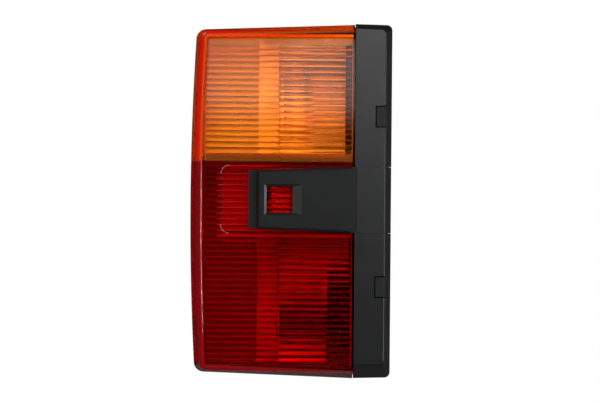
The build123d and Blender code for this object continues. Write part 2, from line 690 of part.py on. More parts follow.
for name, z, low, high in (
    ("turn_reflector", turn_z, turn_low + FIT, turn_high - FIT),
    ("stop_reflector", stop_z, stop_low + FIT, stop_high - FIT),
):
    with BuildPart() as reflector:
        with BuildSketch(Plane.YZ.offset(PAN_LEFT)):
            near, rear = trough_y, trough_y + REFLECTOR_WALL
            inner, outer = trough_half, trough_half + REFLECTOR_WALL
            with BuildLine():
                Bezier((near, z - inner), (2 * apex_y - near, z), (near, z + inner))
                Polyline((near, z + inner), (near, high), (rear, high), (rear, z + outer))
                Bezier((rear, z + outer), (2 * (apex_y + REFLECTOR_WALL) - rear, z), (rear, z - outer))
                Polyline((rear, z - outer), (rear, low), (near, low), (near, z - inner))
            make_face()
        extrude(amount=pan_right - FIT - PAN_LEFT)
        with BuildSketch(Plane.XY.offset(low)):
            Polygon(
                (mouth_left, flange_front),
                (facet_right, facet_y),
                (steep_x, apex_y),
                (steep_x, pan_y),
                (PAN_LEFT - FIT, pan_y),
                (PAN_LEFT - FIT, flange_front),
                align=None,
            )
        extrude(amount=high - low, mode=Mode.SUBTRACT)
        with BuildSketch(Plane.XY.offset(low)):
            Polygon(
                (mouth_left, shelf_y),
                (facet_right + REFLECTOR_WALL, facet_y - REFLECTOR_WALL),
                (steep_x + REFLECTOR_WALL, apex_y),
                (steep_x, apex_y),
                (facet_right, facet_y),
                (mouth_left, flange_front),
                align=None,
            )
        extrude(amount=high - low)
        if name == "turn_reflector":
            with BuildSketch(upright(flange_front)):
                add(shelf_outline(upper_partition, far, mouth_left, turn_low, turn_high))
            extrude(amount=REFLECTOR_WALL)
            with BuildSketch(Plane.XY.offset(upper_partition)):
                Polygon(
                    (wall_left + FACE_INSET, lip_y + FIT + FACE_ROUNDING / 2),
                    (wall_left + FACE_INSET + FACE_ROUNDING / 2, lip_y + FIT),
                    (shelf_right, lip_y + FIT),
                    (shelf_right, flange_front),
                    (wall_left, flange_front),
                    align=None,
                )
            extrude(amount=PARTITION)
    reflector.part.label = name
    export_step(reflector.part, f"parts/{name}.step")

# Grey shelf behind the red lens, plate in front of the lower bulb, reflector block behind the window
with BuildPart() as stop_shelf:
    with BuildSketch(upright(flange_front)):
        add(shelf_outline(-far, upper_partition - FIT, mouth_left - FIT, stop_low, stop_high))
    extrude(amount=REFLECTOR_WALL)
stop_shelf.part.label = "stop_shelf"
export_step(stop_shelf.part, "parts/stop_shelf.step")

with BuildPart() as stop_shield:
    shield_right = STOP_WEB_LEFT + SHIELD_LAP
    with BuildSketch(upright(flange_back + SHIELD_THICKNESS)):
        with Locations(((SHIELD_LEFT + shield_right) / 2, stop_z + SHIELD_RISE - SHIELD_HEIGHT / 2)):
            RectangleRounded(shield_right - SHIELD_LEFT, SHIELD_HEIGHT, SHIELD_CORNER)
    extrude(amount=SHIELD_THICKNESS)
stop_shield.part.label = "stop_shield"
export_step(stop_shield.part, "parts/stop_shield.step")

with BuildPart() as window_reflector:
    half = WINDOW_SIZE / 2 + BLOCK_MARGIN
    ridge_y = inner_y + FLUTE_HEIGHT + BLOCK_GAP
    with BuildSketch(Plane.XY.offset(WINDOW_Z - half)):
        Polygon(
            (WINDOW_X - half, shelf_y),
            (WINDOW_X - half, ridge_y + BLOCK_RIDGE),
            (WINDOW_X - BLOCK_RIDGE_STEP, ridge_y),
            (WINDOW_X + half, ridge_y + BLOCK_RIDGE),
            (WINDOW_X + half, shelf_y),
            align=None,
        )
    extrude(amount=2 * half)
    offset(amount=-REFLECTOR_WALL, openings=window_reflector.faces().sort_by(Axis.Y)[-1])
window_reflector.part.label = "window_reflector"
export_step(window_reflector.part, "parts/window_reflector.step")

# Lamps: bulb glass, cap and filament, then sleeve, holder, washer, contacts and blades
for lamp, z, cap_x, contacts, blades, filaments in LAMPS:
    cap_end = cap_x + CAP_LENGTH
    post_x = cap_end + NUB_LENGTH + RIVET_HEAD

    with BuildPart() as glass:
        with BuildSketch(lamp_plane(z, cap_x)):
            with BuildLine():
                ends = []
                for shrink in (0.0, GLASS_WALL):
                    tip, side, shoulder, run, neck, end = glass_curve(shrink)
                    ThreePointArc(tip, side, shoulder)
                    TangentArc(shoulder, neck, tangent=run)
                    Line(neck, end)
                    ends.append((tip, end))
                Line(ends[0][0], ends[1][0])
                Line(ends[0][1], ends[1][1])
            make_face()
        revolve(axis=lamp_axis(z))
    glass.part.label = f"{lamp}_bulb_glass"
    export_step(glass.part, f"parts/{lamp}_bulb_glass.step")

    with BuildPart() as cap:
        with BuildSketch(across(z, cap_x)):
            Circle(CAP_RADIUS)
        extrude(amount=CAP_LENGTH)
        with BuildSketch(across(z, cap_end)):
            with Locations(*[(0, place) for place in contacts]):
                Circle(RIVET_HEAD_RADIUS)
        extrude(amount=NUB_LENGTH)
        with BuildSketch(lamp_plane(z, cap_x + PIN_X).rotated((90, 0, 0))):
            Circle(PIN_RADIUS)
        extrude(amount=CAP_RADIUS + PIN_REACH, both=True)
        with BuildSketch(across(z, cap_x)):
            Circle(CAP_RADIUS - CAP_WALL)
        extrude(amount=CAP_LENGTH - CAP_BASE, mode=Mode.SUBTRACT)
    cap.part.label = f"{lamp}_bulb_cap"
    export_step(cap.part, f"parts/{lamp}_bulb_cap.step")

    with BuildPart() as filament:
        bulb_middle = cap_x + GLASS_RADIUS - GLASS_LENGTH
        bead_x = cap_x - GLASS_LENGTH / 4
        for place in filaments:
            wires = across(z, bulb_middle + place)
            with BuildSketch(wires):
                with Locations((-WIRE_SPREAD, place), (WIRE_SPREAD, place)):
                    Circle(WIRE_RADIUS)
            extrude(amount=cap_end - CAP_BASE - bulb_middle - place)
            with Locations((bulb_middle + place + WIRE_RADIUS, BULB_DEPTH, z + place)):
                Cylinder(FILAMENT_RADIUS, 2 * WIRE_SPREAD, rotation=(90, 0, 0))
        with Locations((bead_x, BULB_DEPTH, z)):
            wide, high = 2 * (WIRE_SPREAD + 2 * WIRE_RADIUS), 2 * (filaments[-1] + 2 * WIRE_RADIUS)
            Box(2 * WIRE_RADIUS + 1, wide, high)
    filament.part.label = f"{lamp}_bulb_filament"
    export_step(filament.part, f"parts/{lamp}_bulb_filament.step")

    with BuildPart() as sleeve:
        with BuildSketch(across(z, cap_x - SLEEVE_LEAD)):
            Circle(sleeve_bore + SLEEVE_WALL)
            Circle(sleeve_bore, mode=Mode.SUBTRACT)
        extrude(amount=sleeve_end - cap_x + SLEEVE_LEAD)
        low = (cap_x - 2 * SLEEVE_LEAD, -far, z - SLOT_WIDTH / 2)
        slot_end = cap_x + PIN_X + SLOT_WIDTH / 2
        add(box_between(low, (slot_end, far, z + SLOT_WIDTH / 2)), mode=Mode.SUBTRACT)
    sleeve.part.label = f"{lamp}_lamp_sleeve"
    export_step(sleeve.part, f"parts/{lamp}_lamp_sleeve.step")

    with BuildPart() as holder:
        with BuildSketch(lamp_plane(z)):
            Polygon(
                (post_x, 0),
                (post_x, sleeve_bore - FIT),
                (sleeve_end, sleeve_bore - FIT),
                (sleeve_end, holder_bore),
                (holder_front, holder_bore),
                (holder_front, barrel_radius),
                (holder_seat, barrel_radius),
                (holder_seat, HOLDER_FLANGE_RADIUS),
                (holder_seat + HOLDER_FLANGE, HOLDER_FLANGE_RADIUS),
                (holder_seat + HOLDER_FLANGE, HOLDER_BODY_RADIUS),
                (holder_back, HOLDER_BODY_RADIUS),
                (holder_back, 0),
                align=None,
            )
        revolve(axis=lamp_axis(z))
        with BuildSketch(across(z, holder_front)):
            Rectangle(LUG_WIDTH, 2 * (barrel_radius + LUG_REACH))
            Circle((holder_bore + barrel_radius) / 2, mode=Mode.SUBTRACT)
        extrude(amount=BARREL_LEAD - FIT)
        with BuildSketch(across(z, holder_seat + HOLDER_FLANGE)):
            with PolarLocations(HOLDER_BODY_RADIUS, GRIP_COUNT):
                Circle(GRIP_RADIUS)
        extrude(amount=HOLDER_BODY)
        with BuildSketch(across(z, post_x)):
            with Locations(*[(0, place) for place in contacts]):
                Circle(RIVET_RADIUS + PRESS_PLAY)
        extrude(amount=RIVET_LENGTH, mode=Mode.SUBTRACT)
        with BuildSketch(across(z, holder_back)):
            with Locations(*[(place, 0) for place in blades]):
                Rectangle(BLADE_THICKNESS, BLADE_WIDTH)
        extrude(amount=-BLADE_ROOT, mode=Mode.SUBTRACT)
    holder.part.label = f"{lamp}_lamp_holder"
    export_step(holder.part, f"parts/{lamp}_lamp_holder.step")

    with BuildPart() as washer:
        with BuildSketch(across(z, tub_right)):
            Circle(HOLDER_FLANGE_RADIUS - FIT)
            Circle(barrel_radius + FIT, mode=Mode.SUBTRACT)
        extrude(amount=WASHER_THICKNESS)
    washer.part.label = f"{lamp}_holder_washer"
    export_step(washer.part, f"parts/{lamp}_holder_washer.step")

    with BuildPart() as rivets:
        with BuildSketch(across(z, post_x)):
            with Locations(*[(0, place) for place in contacts]):
                Circle(RIVET_HEAD_RADIUS)
        extrude(amount=-RIVET_HEAD)
        with BuildSketch(across(z, post_x)):
            with Locations(*[(0, place) for place in contacts]):
                Circle(RIVET_RADIUS)
        extrude(amount=RIVET_LENGTH)
    rivets.part.label = f"{lamp}_contacts"
    export_step(rivets.part, f"parts/{lamp}_contacts.step")

    with BuildPart() as terminals:
        with BuildSketch(across(z, holder_back - BLADE_ROOT)):
            with Locations(*[(place, 0) for place in blades]):
                Rectangle(BLADE_THICKNESS, BLADE_WIDTH)
        extrude(amount=BLADE_ROOT + BLADE_LENGTH)
        chamfer(terminals.faces().filter_by(Axis.X).group_by(Axis.X)[-1].edges(), length=BLADE_LEAD)
        with Locations((holder_back + BLADE_LENGTH - BLADE_HOLE_INSET, BULB_DEPTH, z)):
            Cylinder(BLADE_HOLE_RADIUS, far, rotation=(90, 0, 0), mode=Mode.SUBTRACT)
    terminals.part.label = f"{lamp}_terminals"
    export_step(terminals.part, f"parts/{lamp}_terminals.step")
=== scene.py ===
"""Dresses the solids of a car's tail light cluster and sets them in a small white studio."""

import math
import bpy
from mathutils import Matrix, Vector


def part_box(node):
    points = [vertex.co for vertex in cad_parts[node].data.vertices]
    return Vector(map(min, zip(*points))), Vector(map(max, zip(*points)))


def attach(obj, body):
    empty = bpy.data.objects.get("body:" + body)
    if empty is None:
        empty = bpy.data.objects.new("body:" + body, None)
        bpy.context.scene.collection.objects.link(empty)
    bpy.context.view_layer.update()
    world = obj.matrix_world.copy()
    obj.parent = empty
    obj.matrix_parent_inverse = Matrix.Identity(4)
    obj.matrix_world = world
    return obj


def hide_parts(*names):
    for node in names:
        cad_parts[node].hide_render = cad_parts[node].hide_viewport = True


bl_info = {
    "name": "Tail Light Cluster",
    "version": (1, 0, 0),
    "blender": (4, 5, 0),
    "location": "View3D > Sidebar > Tail Light",
    "description": "Dresses the solids of a car's tail light cluster and lights them for a picture",
    "category": "Object",
}

import bpy
from bpy.props import FloatProperty, FloatVectorProperty, PointerProperty
from mathutils import Vector

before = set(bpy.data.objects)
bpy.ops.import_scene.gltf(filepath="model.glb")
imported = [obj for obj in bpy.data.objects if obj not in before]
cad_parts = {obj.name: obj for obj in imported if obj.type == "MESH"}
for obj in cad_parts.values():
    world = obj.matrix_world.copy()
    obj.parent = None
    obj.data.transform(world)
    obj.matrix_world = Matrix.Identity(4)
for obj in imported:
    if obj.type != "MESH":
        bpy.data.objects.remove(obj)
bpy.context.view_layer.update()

MM = 0.001
LAMPS = ("turn", "stop")
NOISE_RANGE = (0.3, 0.7)  # holds nearly all values of a noise texture

# Acrylic of the lenses
HAZE_WIDTH = 6  # mm
HAZE_RANGE = (0.3, 0.75)  # of the noise, which sets how hazy the polish is
POLISH = (0.015, 0.05)  # roughness where the polish is clear and where it is hazy
WALL_BORDER = (-1.0, -0.4)  # where the tint of the walls sets in, in widths of the edge's fade
EDGE_BORDER = (-0.5, 0.4)  # the same for the deep tint of the edge
EDGE_ROUND = 2 * MM  # rounding where the left edge meets the upper and the lower one
EDGE_CLEAR = 0.2  # share of the light that still goes straight through the lens along its walls
SLOPE_HIGHLIGHT_CLEAR = 0.5  # the same on the slopes round the pocket, under their painted highlight
SLOPE_HIGHLIGHT_FADE = 1 * MM
POCKET_SLOPE = math.radians(40)  # of the walls round the pocket of the red lens
SLOPE_SPREAD = 0.12  # how far a normal's y may be from that of the slope

# Moulded plastics and paint
ABS_INDEX = 1.53
CLOUD_WIDTH = 18  # mm, the uneven patches that moulding leaves
CLOUD_SHADE = 0.82  # colour of the darker patches, as a share
CLOUD_ROUGH = (-0.02, 0.03)  # what the patches add to the roughness
GRAIN_STRENGTH = 0.35
PLAIN_SHINE = 0.5  # of ABS as it leaves the mould
FLANGE_SHINE = 0.12  # under matt lacquer, which keeps the dark parts behind the lenses dark
SHELF_SHINE = 0.15  # the same on the shelf and the shield
CRISP = 0.1 * MM  # border of a coat of paint

# Metals and glass
EVEN = (1, 1, 1)  # streaks that run no way in particular
BLOOM_WIDTH = 5  # mm
STREAK_ROUGH = (0.7, 1.4)  # times the roughness
STREAK_STRENGTH = 0.15
COAT_GRAIN = 30.0  # mm, so wide that a sprayed or vacuum coat looks even
GLASS_INDEX = 1.5
GLASS_ROUGH = 0.02
WAVE_WIDTH = 9  # mm
WAVE_DEPTH = 0.2 * MM
WAVE_STRENGTH = 0.05

# Studs
ROD_SIDES = 64
NEAR = MM / 10  # a vertex this near to a level lies on it
TIP_STEPS, PLAIN_STEPS = 3, 2  # faces across the bevels
RIDGE_FOOT = 0.96  # width of the ridge's foot, in pitches
RIDGE_SINK = 1.4  # height of the ridge with what is sunk in the core, in depths of the thread
RIDGE_LEAD = 1.2  # the ridge is wound from this many pitches before the plain part's end
RIDGE_START = 0.6  # and cut off square this many before it
RIDGE_STEPS = 40  # in one turn
SMOOTH_ANGLE = math.radians(28)

# Studio: each softbox has a place, a width and height and a radiance, of which 1 is paper white
SOFTBOXES = {
    "softbox_top": ((0.22, -0.5, 0.2), (0.2, 0.25), 4.4),
    "softbox_left": ((-0.42, -0.83, -0.05), (0.05, 0.16), 36.0),
    "softbox_right": ((0.8, -0.55, -0.05), (0.7, 0.16), 1.0),
    "softbox_side": ((0.62, -0.52, -0.05), (0.3, 0.16), 9.0),  # mirrored in the slanted ends of the troughs
    "softbox_line": ((0.89, -0.16, 0.0), (0.1, 0.3), 4.0),  # a thin pale line in the slope of the pocket
    "softbox_back": ((-0.6, 0.5, 0.75), (0.4, 0.4), 2.2),
    "softbox_blades": ((0.85, 0.45, 0.05), (0.5, 0.5), 0.9),
}
# Levels of the world by a ray's direction: an axis, the ends of a range along it and the levels there
LEVELS = {
    "front": ("Y", (-0.9, 0.0), (0.01, 0.07)),  # mirrored: dark before the lamp, paler at its sides
    "back": ("Y", (0.1, 0.9), (1.0, 0.03)),  # share of that, which falls off again behind the lamp
    "through": ("Z", (-0.4, 0.5), (1.25, 4.2)),  # seen through the lenses: brighter above
    "fill": ("Z", (-0.2, 0.8), (0.7, 0.85)),  # on matt surfaces: nearly even
}
CARD_RISE = (0.0125, 0.0185)  # soft lower border of the mirrored card, along z
CARD_TOP = 0.0293  # its sharp upper border, along z
CARD_SIDE = (-0.0037, -0.0033)  # border of its dimmer left part, along x
CARD_DIM = 0.65  # level of that part, as a share
CARD_AHEAD = -0.99  # it lies straight before the lamp, along y
FLOOR_SIZE = 6.0  # m
FLOOR_PLAIN = 0.35  # share of the shadow's reach in which the floor is plain paper
FLOOR_MIRRORED = 0.06  # level of the floor in reflections
SENSOR_WIDTH = 36.0  # mm
VIEW_REACH = 50.0  # m


def linear(code):
    """An sRGB hex value as the linear colour that Blender's sockets take."""
    shares = [int(code[place:place + 2], 16) / 255 for place in (0, 2, 4)]
    return tuple(s / 12.92 if s <= 0.04045 else ((s + 0.055) / 1.055) ** 2.4 for s in shares)


def opaque(colour):
    """A colour with full alpha, as a colour socket takes it."""
    return (*colour, 1.0)


def per(size):
    """The texture scale that makes a pattern's features this many millimetres wide."""
    return 1.0 / (size * MM)


WHITE = opaque(linear("ffffff"))
RGB = {"size": 3, "min": 0, "max": 1}  # what all colour properties share


class LampColours(bpy.types.PropertyGroup):
    """Colours of the lamp's materials and of the light and shade painted on them, and how the acrylic of the
    lenses takes up and bends light.
    """

    amber_face: FloatVectorProperty(
        name="Amber Face", description="Tint of the amber acrylic seen through its face", subtype="COLOR",
        default=linear("fff6e6"), **RGB,
    )
    amber_wall: FloatVectorProperty(
        name="Amber Wall", description="Tint of the amber acrylic in its side walls", subtype="COLOR",
        default=linear("e49038"), **RGB,
    )
    amber_edge: FloatVectorProperty(
        name="Amber Edge", description="Tint of the amber acrylic where the eye looks along its wall",
        subtype="COLOR", default=linear("d61802"), **RGB,
    )
    amber_dye: FloatVectorProperty(
        name="Amber Dye", description="Light that the amber acrylic lets pass", subtype="COLOR",
        default=linear("ffd727"), **RGB,
    )
    amber_density: FloatProperty(
        name="Amber Density", description="How much light the amber dye takes up in a metre", default=600.0, min=0,
    )
    amber_index: FloatProperty(
        name="Amber Index", description="How far the amber acrylic bends light", default=1.42, min=1,
    )
    red_face: FloatVectorProperty(
        name="Red Face", description="Tint of the red acrylic seen through its face", subtype="COLOR",
        default=linear("ff322e"), **RGB,
    )
    red_lip: FloatVectorProperty(
        name="Red Lip", description="Tint of the red acrylic where its lip lies behind the amber", subtype="COLOR",
        default=linear("a85038"), **RGB,
    )
    red_wall: FloatVectorProperty(
        name="Red Wall", description="Tint of the red acrylic in its side walls", subtype="COLOR",
        default=linear("dc2222"), **RGB,
    )
    red_edge: FloatVectorProperty(
        name="Red Edge", description="Tint of the red acrylic where the eye looks along its wall", subtype="COLOR",
        default=linear("7c0810"), **RGB,
    )
    # Painted highlight: the pale tint on the pocket's slopes stands in for the light that they mirror
    red_slope_highlight: FloatVectorProperty(
        name="Red Frost", description="Tint of the matt slopes round the pocket of the red lens", subtype="COLOR",
        default=linear("d08c8c"), **RGB,
    )
    red_dye: FloatVectorProperty(
        name="Red Dye", description="Light that the red acrylic lets pass", subtype="COLOR",
        default=linear("fa3c38"), **RGB,
    )
    red_density: FloatProperty(
        name="Red Density", description="How much light the red dye takes up in a metre", default=300.0, min=0,
    )
    red_index: FloatProperty(
        name="Red Index", description="How far the red acrylic bends light", default=1.39, min=1,
    )
    cover_black: FloatVectorProperty(
        name="Cover Black", description="Black ABS of the side cover and black paint on the flange",
        subtype="COLOR", default=linear("0d0e0f"), **RGB,
    )
    panel_black: FloatVectorProperty(
        name="Panel Black", description="Black ABS of the centre panel", subtype="COLOR",
        default=linear("101113"), **RGB,
    )
    housing_grey: FloatVectorProperty(
        name="Housing Grey", description="Pale grey ABS of the flange and tub", subtype="COLOR",
        default=linear("d9d7d1"), **RGB,
    )
    # Painted shade: the darker grey on the flange's upper end stands in for the shade under the lens's top wall
    flange_top_shade_grey: FloatVectorProperty(
        name="Land Grey", description="Grey paint on the upper end of the flange", subtype="COLOR",
        default=linear("747370"), **RGB,
    )
    tongue_black: FloatVectorProperty(
        name="Tongue Black", description="Matt tongues in the snap windows of the cover", subtype="COLOR",
        default=linear("1f2021"), **RGB,
    )
    shelf_grey: FloatVectorProperty(
        name="Shelf Grey", description="Mid grey ABS of the shelf behind the red lens", subtype="COLOR",
        default=linear("525250"), **RGB,
    )
    # Painted light: the paler grey lightens the shelf where the centre panel shades it
    painted_light_grey: FloatVectorProperty(
        name="Patch Grey", description="Pale paint on the shelf behind the centre panel", subtype="COLOR",
        default=linear("898782"), **RGB,
    )
    # Painted shade: the shield's dark grey stands in for the lower bulb and its shadow on the trough
    shadow_shield_grey: FloatVectorProperty(
        name="Shield Grey", description="Dark grey ABS of the shield before the lower bulb", subtype="COLOR",
        default=linear("2e2e2d"), **RGB,
    )
    rubber_black: FloatVectorProperty(
        name="Rubber Black", description="Washers of the lamp holders and foam gasket", subtype="COLOR",
        default=linear("202021"), **RGB,
    )
    seal_grey: FloatVectorProperty(
        name="Seal Grey", description="Pale rubber between the lens and the flange", subtype="COLOR",
        default=linear("c8c8c4"), **RGB,
    )
    metallised: FloatVectorProperty(
        name="Metallised", description="Vacuum coated reflectors", subtype="COLOR",
        default=linear("fcfcfa"), **RGB,
    )
    # Painted shade: the darker coat dims the shelf of the upper reflector
    shelf_shade_coat: FloatVectorProperty(
        name="Shelf Coat", description="Duller coat on the shelf of the upper reflector", subtype="COLOR",
        default=linear("9a9a98"), **RGB,
    )
    # Painted shade: darker coats dim what the slanted ends of the troughs mirror
    turn_facet_shade_coat: FloatVectorProperty(
        name="Bright Facet", description="Coat on the slanted end of the upper trough", subtype="COLOR",
        default=linear("bababa"), **RGB,
    )
    # Painted shade on the slanted end of the lower trough
    stop_facet_shade_coat: FloatVectorProperty(
        name="Facet Coat", description="Duller coat on the slanted end of the lower trough", subtype="COLOR",
        default=linear("727270"), **RGB,
    )
    # Painted shade: the darker coat at the top of the upper reflector; the same colour paints the lip's shadow at
    # its foot
    reflector_shade_coat: FloatVectorProperty(
        name="Heat Coat", description="Dull coat at the top and the foot of the upper reflector", subtype="COLOR",
        default=linear("8a8884"), **RGB,
    )
    # Painted shade at the top of the lower trough, above its lamp
    stop_top_shade_coat: FloatVectorProperty(
        name="Soot Coat", description="Coat of the lower trough above its lamp", subtype="COLOR",
        default=linear("6b6b69"), **RGB,
    )
    # Painted shade: the slightly darker coat behind the cap of the upper lamp makes the cap stand out
    cap_shade_coat: FloatVectorProperty(
        name="Dull Coat", description="Slightly dull coat behind the cap of the upper lamp", subtype="COLOR",
        default=linear("e8e6e0"), **RGB,
    )
    lacquered: FloatVectorProperty(
        name="Lacquered", description="Lacquered block behind the window", subtype="COLOR",
        default=linear("646462"), **RGB,
    )
    zinc: FloatVectorProperty(
        name="Zinc", description="Zinc plated studs and lamp sleeves", subtype="COLOR",
        default=linear("cfd0cb"), **RGB,
    )
    nickel: FloatVectorProperty(
        name="Nickel", description="Nickel plated lamp caps", subtype="COLOR", default=linear("fff6e4"), **RGB,
    )
    brass: FloatVectorProperty(
        name="Brass", description="Contacts and terminal blades", subtype="COLOR", default=linear("dcb667"), **RGB,
    )
    tungsten: FloatVectorProperty(
        name="Tungsten", description="Filaments and their wires", subtype="COLOR", default=linear("85868a"), **RGB,
    )
    nylon: FloatVectorProperty(
        name="Nylon", description="Black nylon of the lamp holders", subtype="COLOR",
        default=linear("1f1f20"), **RGB,
    )
    glass: FloatVectorProperty(
        name="Glass", description="Clear glass of the bulbs", subtype="COLOR", default=linear("fcfdfd"), **RGB,
    )


class LampSizes(bpy.types.PropertyGroup):
    """Sizes of the studs' rolled threads, and where edges, paints, coats and painted light and shade begin and
    end.
    """

    thread_radius: FloatProperty(
        name="Thread Radius", description="Outer radius of the thread", unit="LENGTH", default=3.0 * MM,
    )
    core_radius: FloatProperty(
        name="Core Radius", description="Radius at the root of the thread", unit="LENGTH", default=2.45 * MM,
    )
    root_radius: FloatProperty(
        name="Root Radius", description="Radius of the part pressed into the boss", unit="LENGTH",
        default=3.7 * MM,
    )
    pitch: FloatProperty(
        name="Pitch", description="Rise of the thread in one turn", unit="LENGTH", default=1.0 * MM,
    )
    crest: FloatProperty(name="Crest", description="Flat on top of the thread", unit="LENGTH", default=0.16 * MM)
    plain_length: FloatProperty(
        name="Plain Length", description="Bare length between the gasket and the thread", unit="LENGTH",
        default=2.4 * MM,
    )
    tip_bevel: FloatProperty(
        name="Tip Bevel", description="Bevel of the stud's tip", unit="LENGTH", default=0.8 * MM,
    )
    edge_left: FloatProperty(
        name="Edge Left", description="Left of this the lens is seen along its wall", unit="LENGTH",
        default=-64.0 * MM,
    )
    edge_bow: FloatProperty(
        name="Edge Bow", description="Radius of the lens's bowed left edge", unit="LENGTH", default=2080 * MM,
    )
    edge_height: FloatProperty(
        name="Edge Height", description="Above and below this the lens is seen along its wall", unit="LENGTH",
        default=118.7 * MM,
    )
    edge_taper: FloatProperty(
        name="Edge Taper", description="Growth of the edge's height for each step to the right", default=0.0363,
    )
    edge_fade: FloatProperty(
        name="Edge Fade", description="Width over which the edge's colour sets in", unit="LENGTH",
        default=4.0 * MM,
    )
    edge_depth: FloatProperty(
        name="Edge Depth", description="Behind this the walls lose the edge's deep colour", unit="LENGTH",
        default=-34 * MM,
    )
    seam_height: FloatProperty(
        name="Seam Height", description="Above this the red lens is only a lip behind the amber", unit="LENGTH",
        default=27.75 * MM,
    )
    # Limits of the painted highlight on the pocket's slopes
    slope_highlight_left: FloatProperty(
        name="Frost Left", description="The pocket's slopes lie right of this", unit="LENGTH", default=-52 * MM,
    )
    slope_highlight_reach: FloatProperty(
        name="Frost Reach", description="The pocket's slopes lie within this height up and down", unit="LENGTH",
        default=27 * MM,
    )
    # Above this the flange carries painted shade
    flange_top_shade_height: FloatProperty(
        name="Land Height", description="The flange is painted grey above this", unit="LENGTH", default=111 * MM,
    )
    paint_left: FloatProperty(
        name="Paint Left", description="The flange is painted black to the right of this", unit="LENGTH",
        default=25.5 * MM,
    )
    paint_reach: FloatProperty(
        name="Paint Reach", description="The black paint runs this far up and down", unit="LENGTH",
        default=116 * MM,
    )
    tongue_left: FloatProperty(
        name="Tongue Left", description="The flange is painted as its tongues to the right of this", unit="LENGTH",
        default=48 * MM,
    )
    # Limits of the painted light on the shelf
    painted_light_left: FloatProperty(
        name="Patch Left", description="The shelf behind the centre panel is painted pale to the right of this",
        unit="LENGTH", default=-48.4 * MM,
    )
    painted_light_reach: FloatProperty(
        name="Patch Reach", description="The pale paint runs this far up and down", unit="LENGTH", default=23 * MM,
    )
    # Left of this the shelf carries painted shade
    shelf_right: FloatProperty(
        name="Shelf Right", description="Left of this the upper reflector is a shelf with a duller coat",
        unit="LENGTH", default=-23.3 * MM,
    )
    # Left of this the slanted ends of the troughs carry painted shade
    facet_right: FloatProperty(
        name="Facet Right", description="Left of this the slanted ends of both troughs have a duller coat",
        unit="LENGTH", default=-8.4 * MM,
    )
    # Limits of the painted shade behind the cap of the upper lamp
    cap_shade_left: FloatProperty(
        name="Cap Left", description="Right of this the coat behind the cap of the upper lamp is slightly dull",
        unit="LENGTH", default=9 * MM,
    )
    cap_shade_foot: FloatProperty(
        name="Cap Foot", description="Above this the coat behind the cap of the upper lamp is slightly dull",
        unit="LENGTH", default=52 * MM,
    )
    # Below this lies the painted shadow of the lens's lip on the upper reflector
    lip_shadow_height: FloatProperty(
        name="Foot Height", description="Below this the coat of the upper reflector is dull", unit="LENGTH",
        default=35 * MM,
    )
    lip_shadow_fade: FloatProperty(
        name="Foot Fade", description="Height over which that dulling sets in", unit="LENGTH", default=9 * MM,
    )
    # Limits and borders of the painted shade at the tops of both reflectors; the upper border also edges the
    # painted shade behind the cap
    top_shade_left: FloatProperty(
        name="Heat Left", description="Right of this the lamps' heat has dulled the coat", unit="LENGTH",
        default=-24 * MM,
    )
    turn_top_shade_height: FloatProperty(
        name="Turn Heat", description="Above this the heat of the upper lamp has dulled the coat", unit="LENGTH",
        default=102 * MM,
    )
    turn_shade_fade: FloatProperty(
        name="Heat Fade", description="Width over which the upper lamp's dulling sets in", unit="LENGTH",
        default=16 * MM,
    )
    stop_top_shade_height: FloatProperty(
        name="Stop Heat", description="Above this the heat of the lower lamp has dulled the coat", unit="LENGTH",
        default=-47 * MM,
    )
    stop_top_shade_fade: FloatProperty(
        name="Soot Fade", description="Width over which the lower lamp's dulling sets in", unit="LENGTH",
        default=6.4 * MM,
    )


class StudioSizes(bpy.types.PropertyGroup):
    """The camera's place and lens, the mirrored card's level and the floor."""

    camera_distance: FloatProperty(
        name="Camera Distance", description="From the lens rim to the camera", unit="LENGTH", default=4.0,
    )
    camera_lens: FloatProperty(
        name="Focal Length", description="Long lens, on a sensor 36 mm wide", unit="CAMERA", default=338.0,
    )
    camera_x: FloatProperty(
        name="Camera Right", description="Middle of the picture, right of the lamp's middle", unit="LENGTH",
        default=6.4 * MM,
    )
    camera_z: FloatProperty(
        name="Camera Up", description="Middle of the picture, above the lamp's middle", unit="LENGTH",
        default=0.49 * MM,
    )
    camera_roll: FloatProperty(
        name="Camera Roll", description="Tilt of the picture", subtype="ANGLE", default=math.radians(0.48),
    )
    card_level: FloatProperty(
        name="Card Level", description="Brightness of the white card that the amber lens mirrors", default=2.7,
        min=0,
    )
    floor_z: FloatProperty(
        name="Floor Height", description="Below the lamp's middle", unit="LENGTH", default=-400 * MM,
    )
    floor_clear: FloatProperty(
        name="Floor Shadow", description="How far out the floor still takes the shadow", unit="LENGTH",
        default=550 * MM,
    )
    paper_white: FloatVectorProperty(
        name="Paper White", description="Paper of the floor", subtype="COLOR", default=linear("f3f3f3"), **RGB,
    )


def add_node(tree, kind, values=None, links=None, **settings):
    """Adds one node with its settings, the values of its sockets and what feeds them."""
    node = tree.nodes.new(kind)
    for name, setting in settings.items():
        setattr(node, name, setting)
    for socket, value in (values or {}).items():
        node.inputs[socket].default_value = value
    for socket, source in (links or {}).items():
        tree.links.new(source, node.inputs[socket])
    return node


def new_material(name):
    """An empty material, its tree and the object's own coordinates in metres."""
    material = bpy.data.materials.new(name)
    material.use_nodes = True
    tree = material.node_tree
    tree.nodes.clear()
    return material, tree, add_node(tree, "ShaderNodeTexCoord").outputs["Object"]


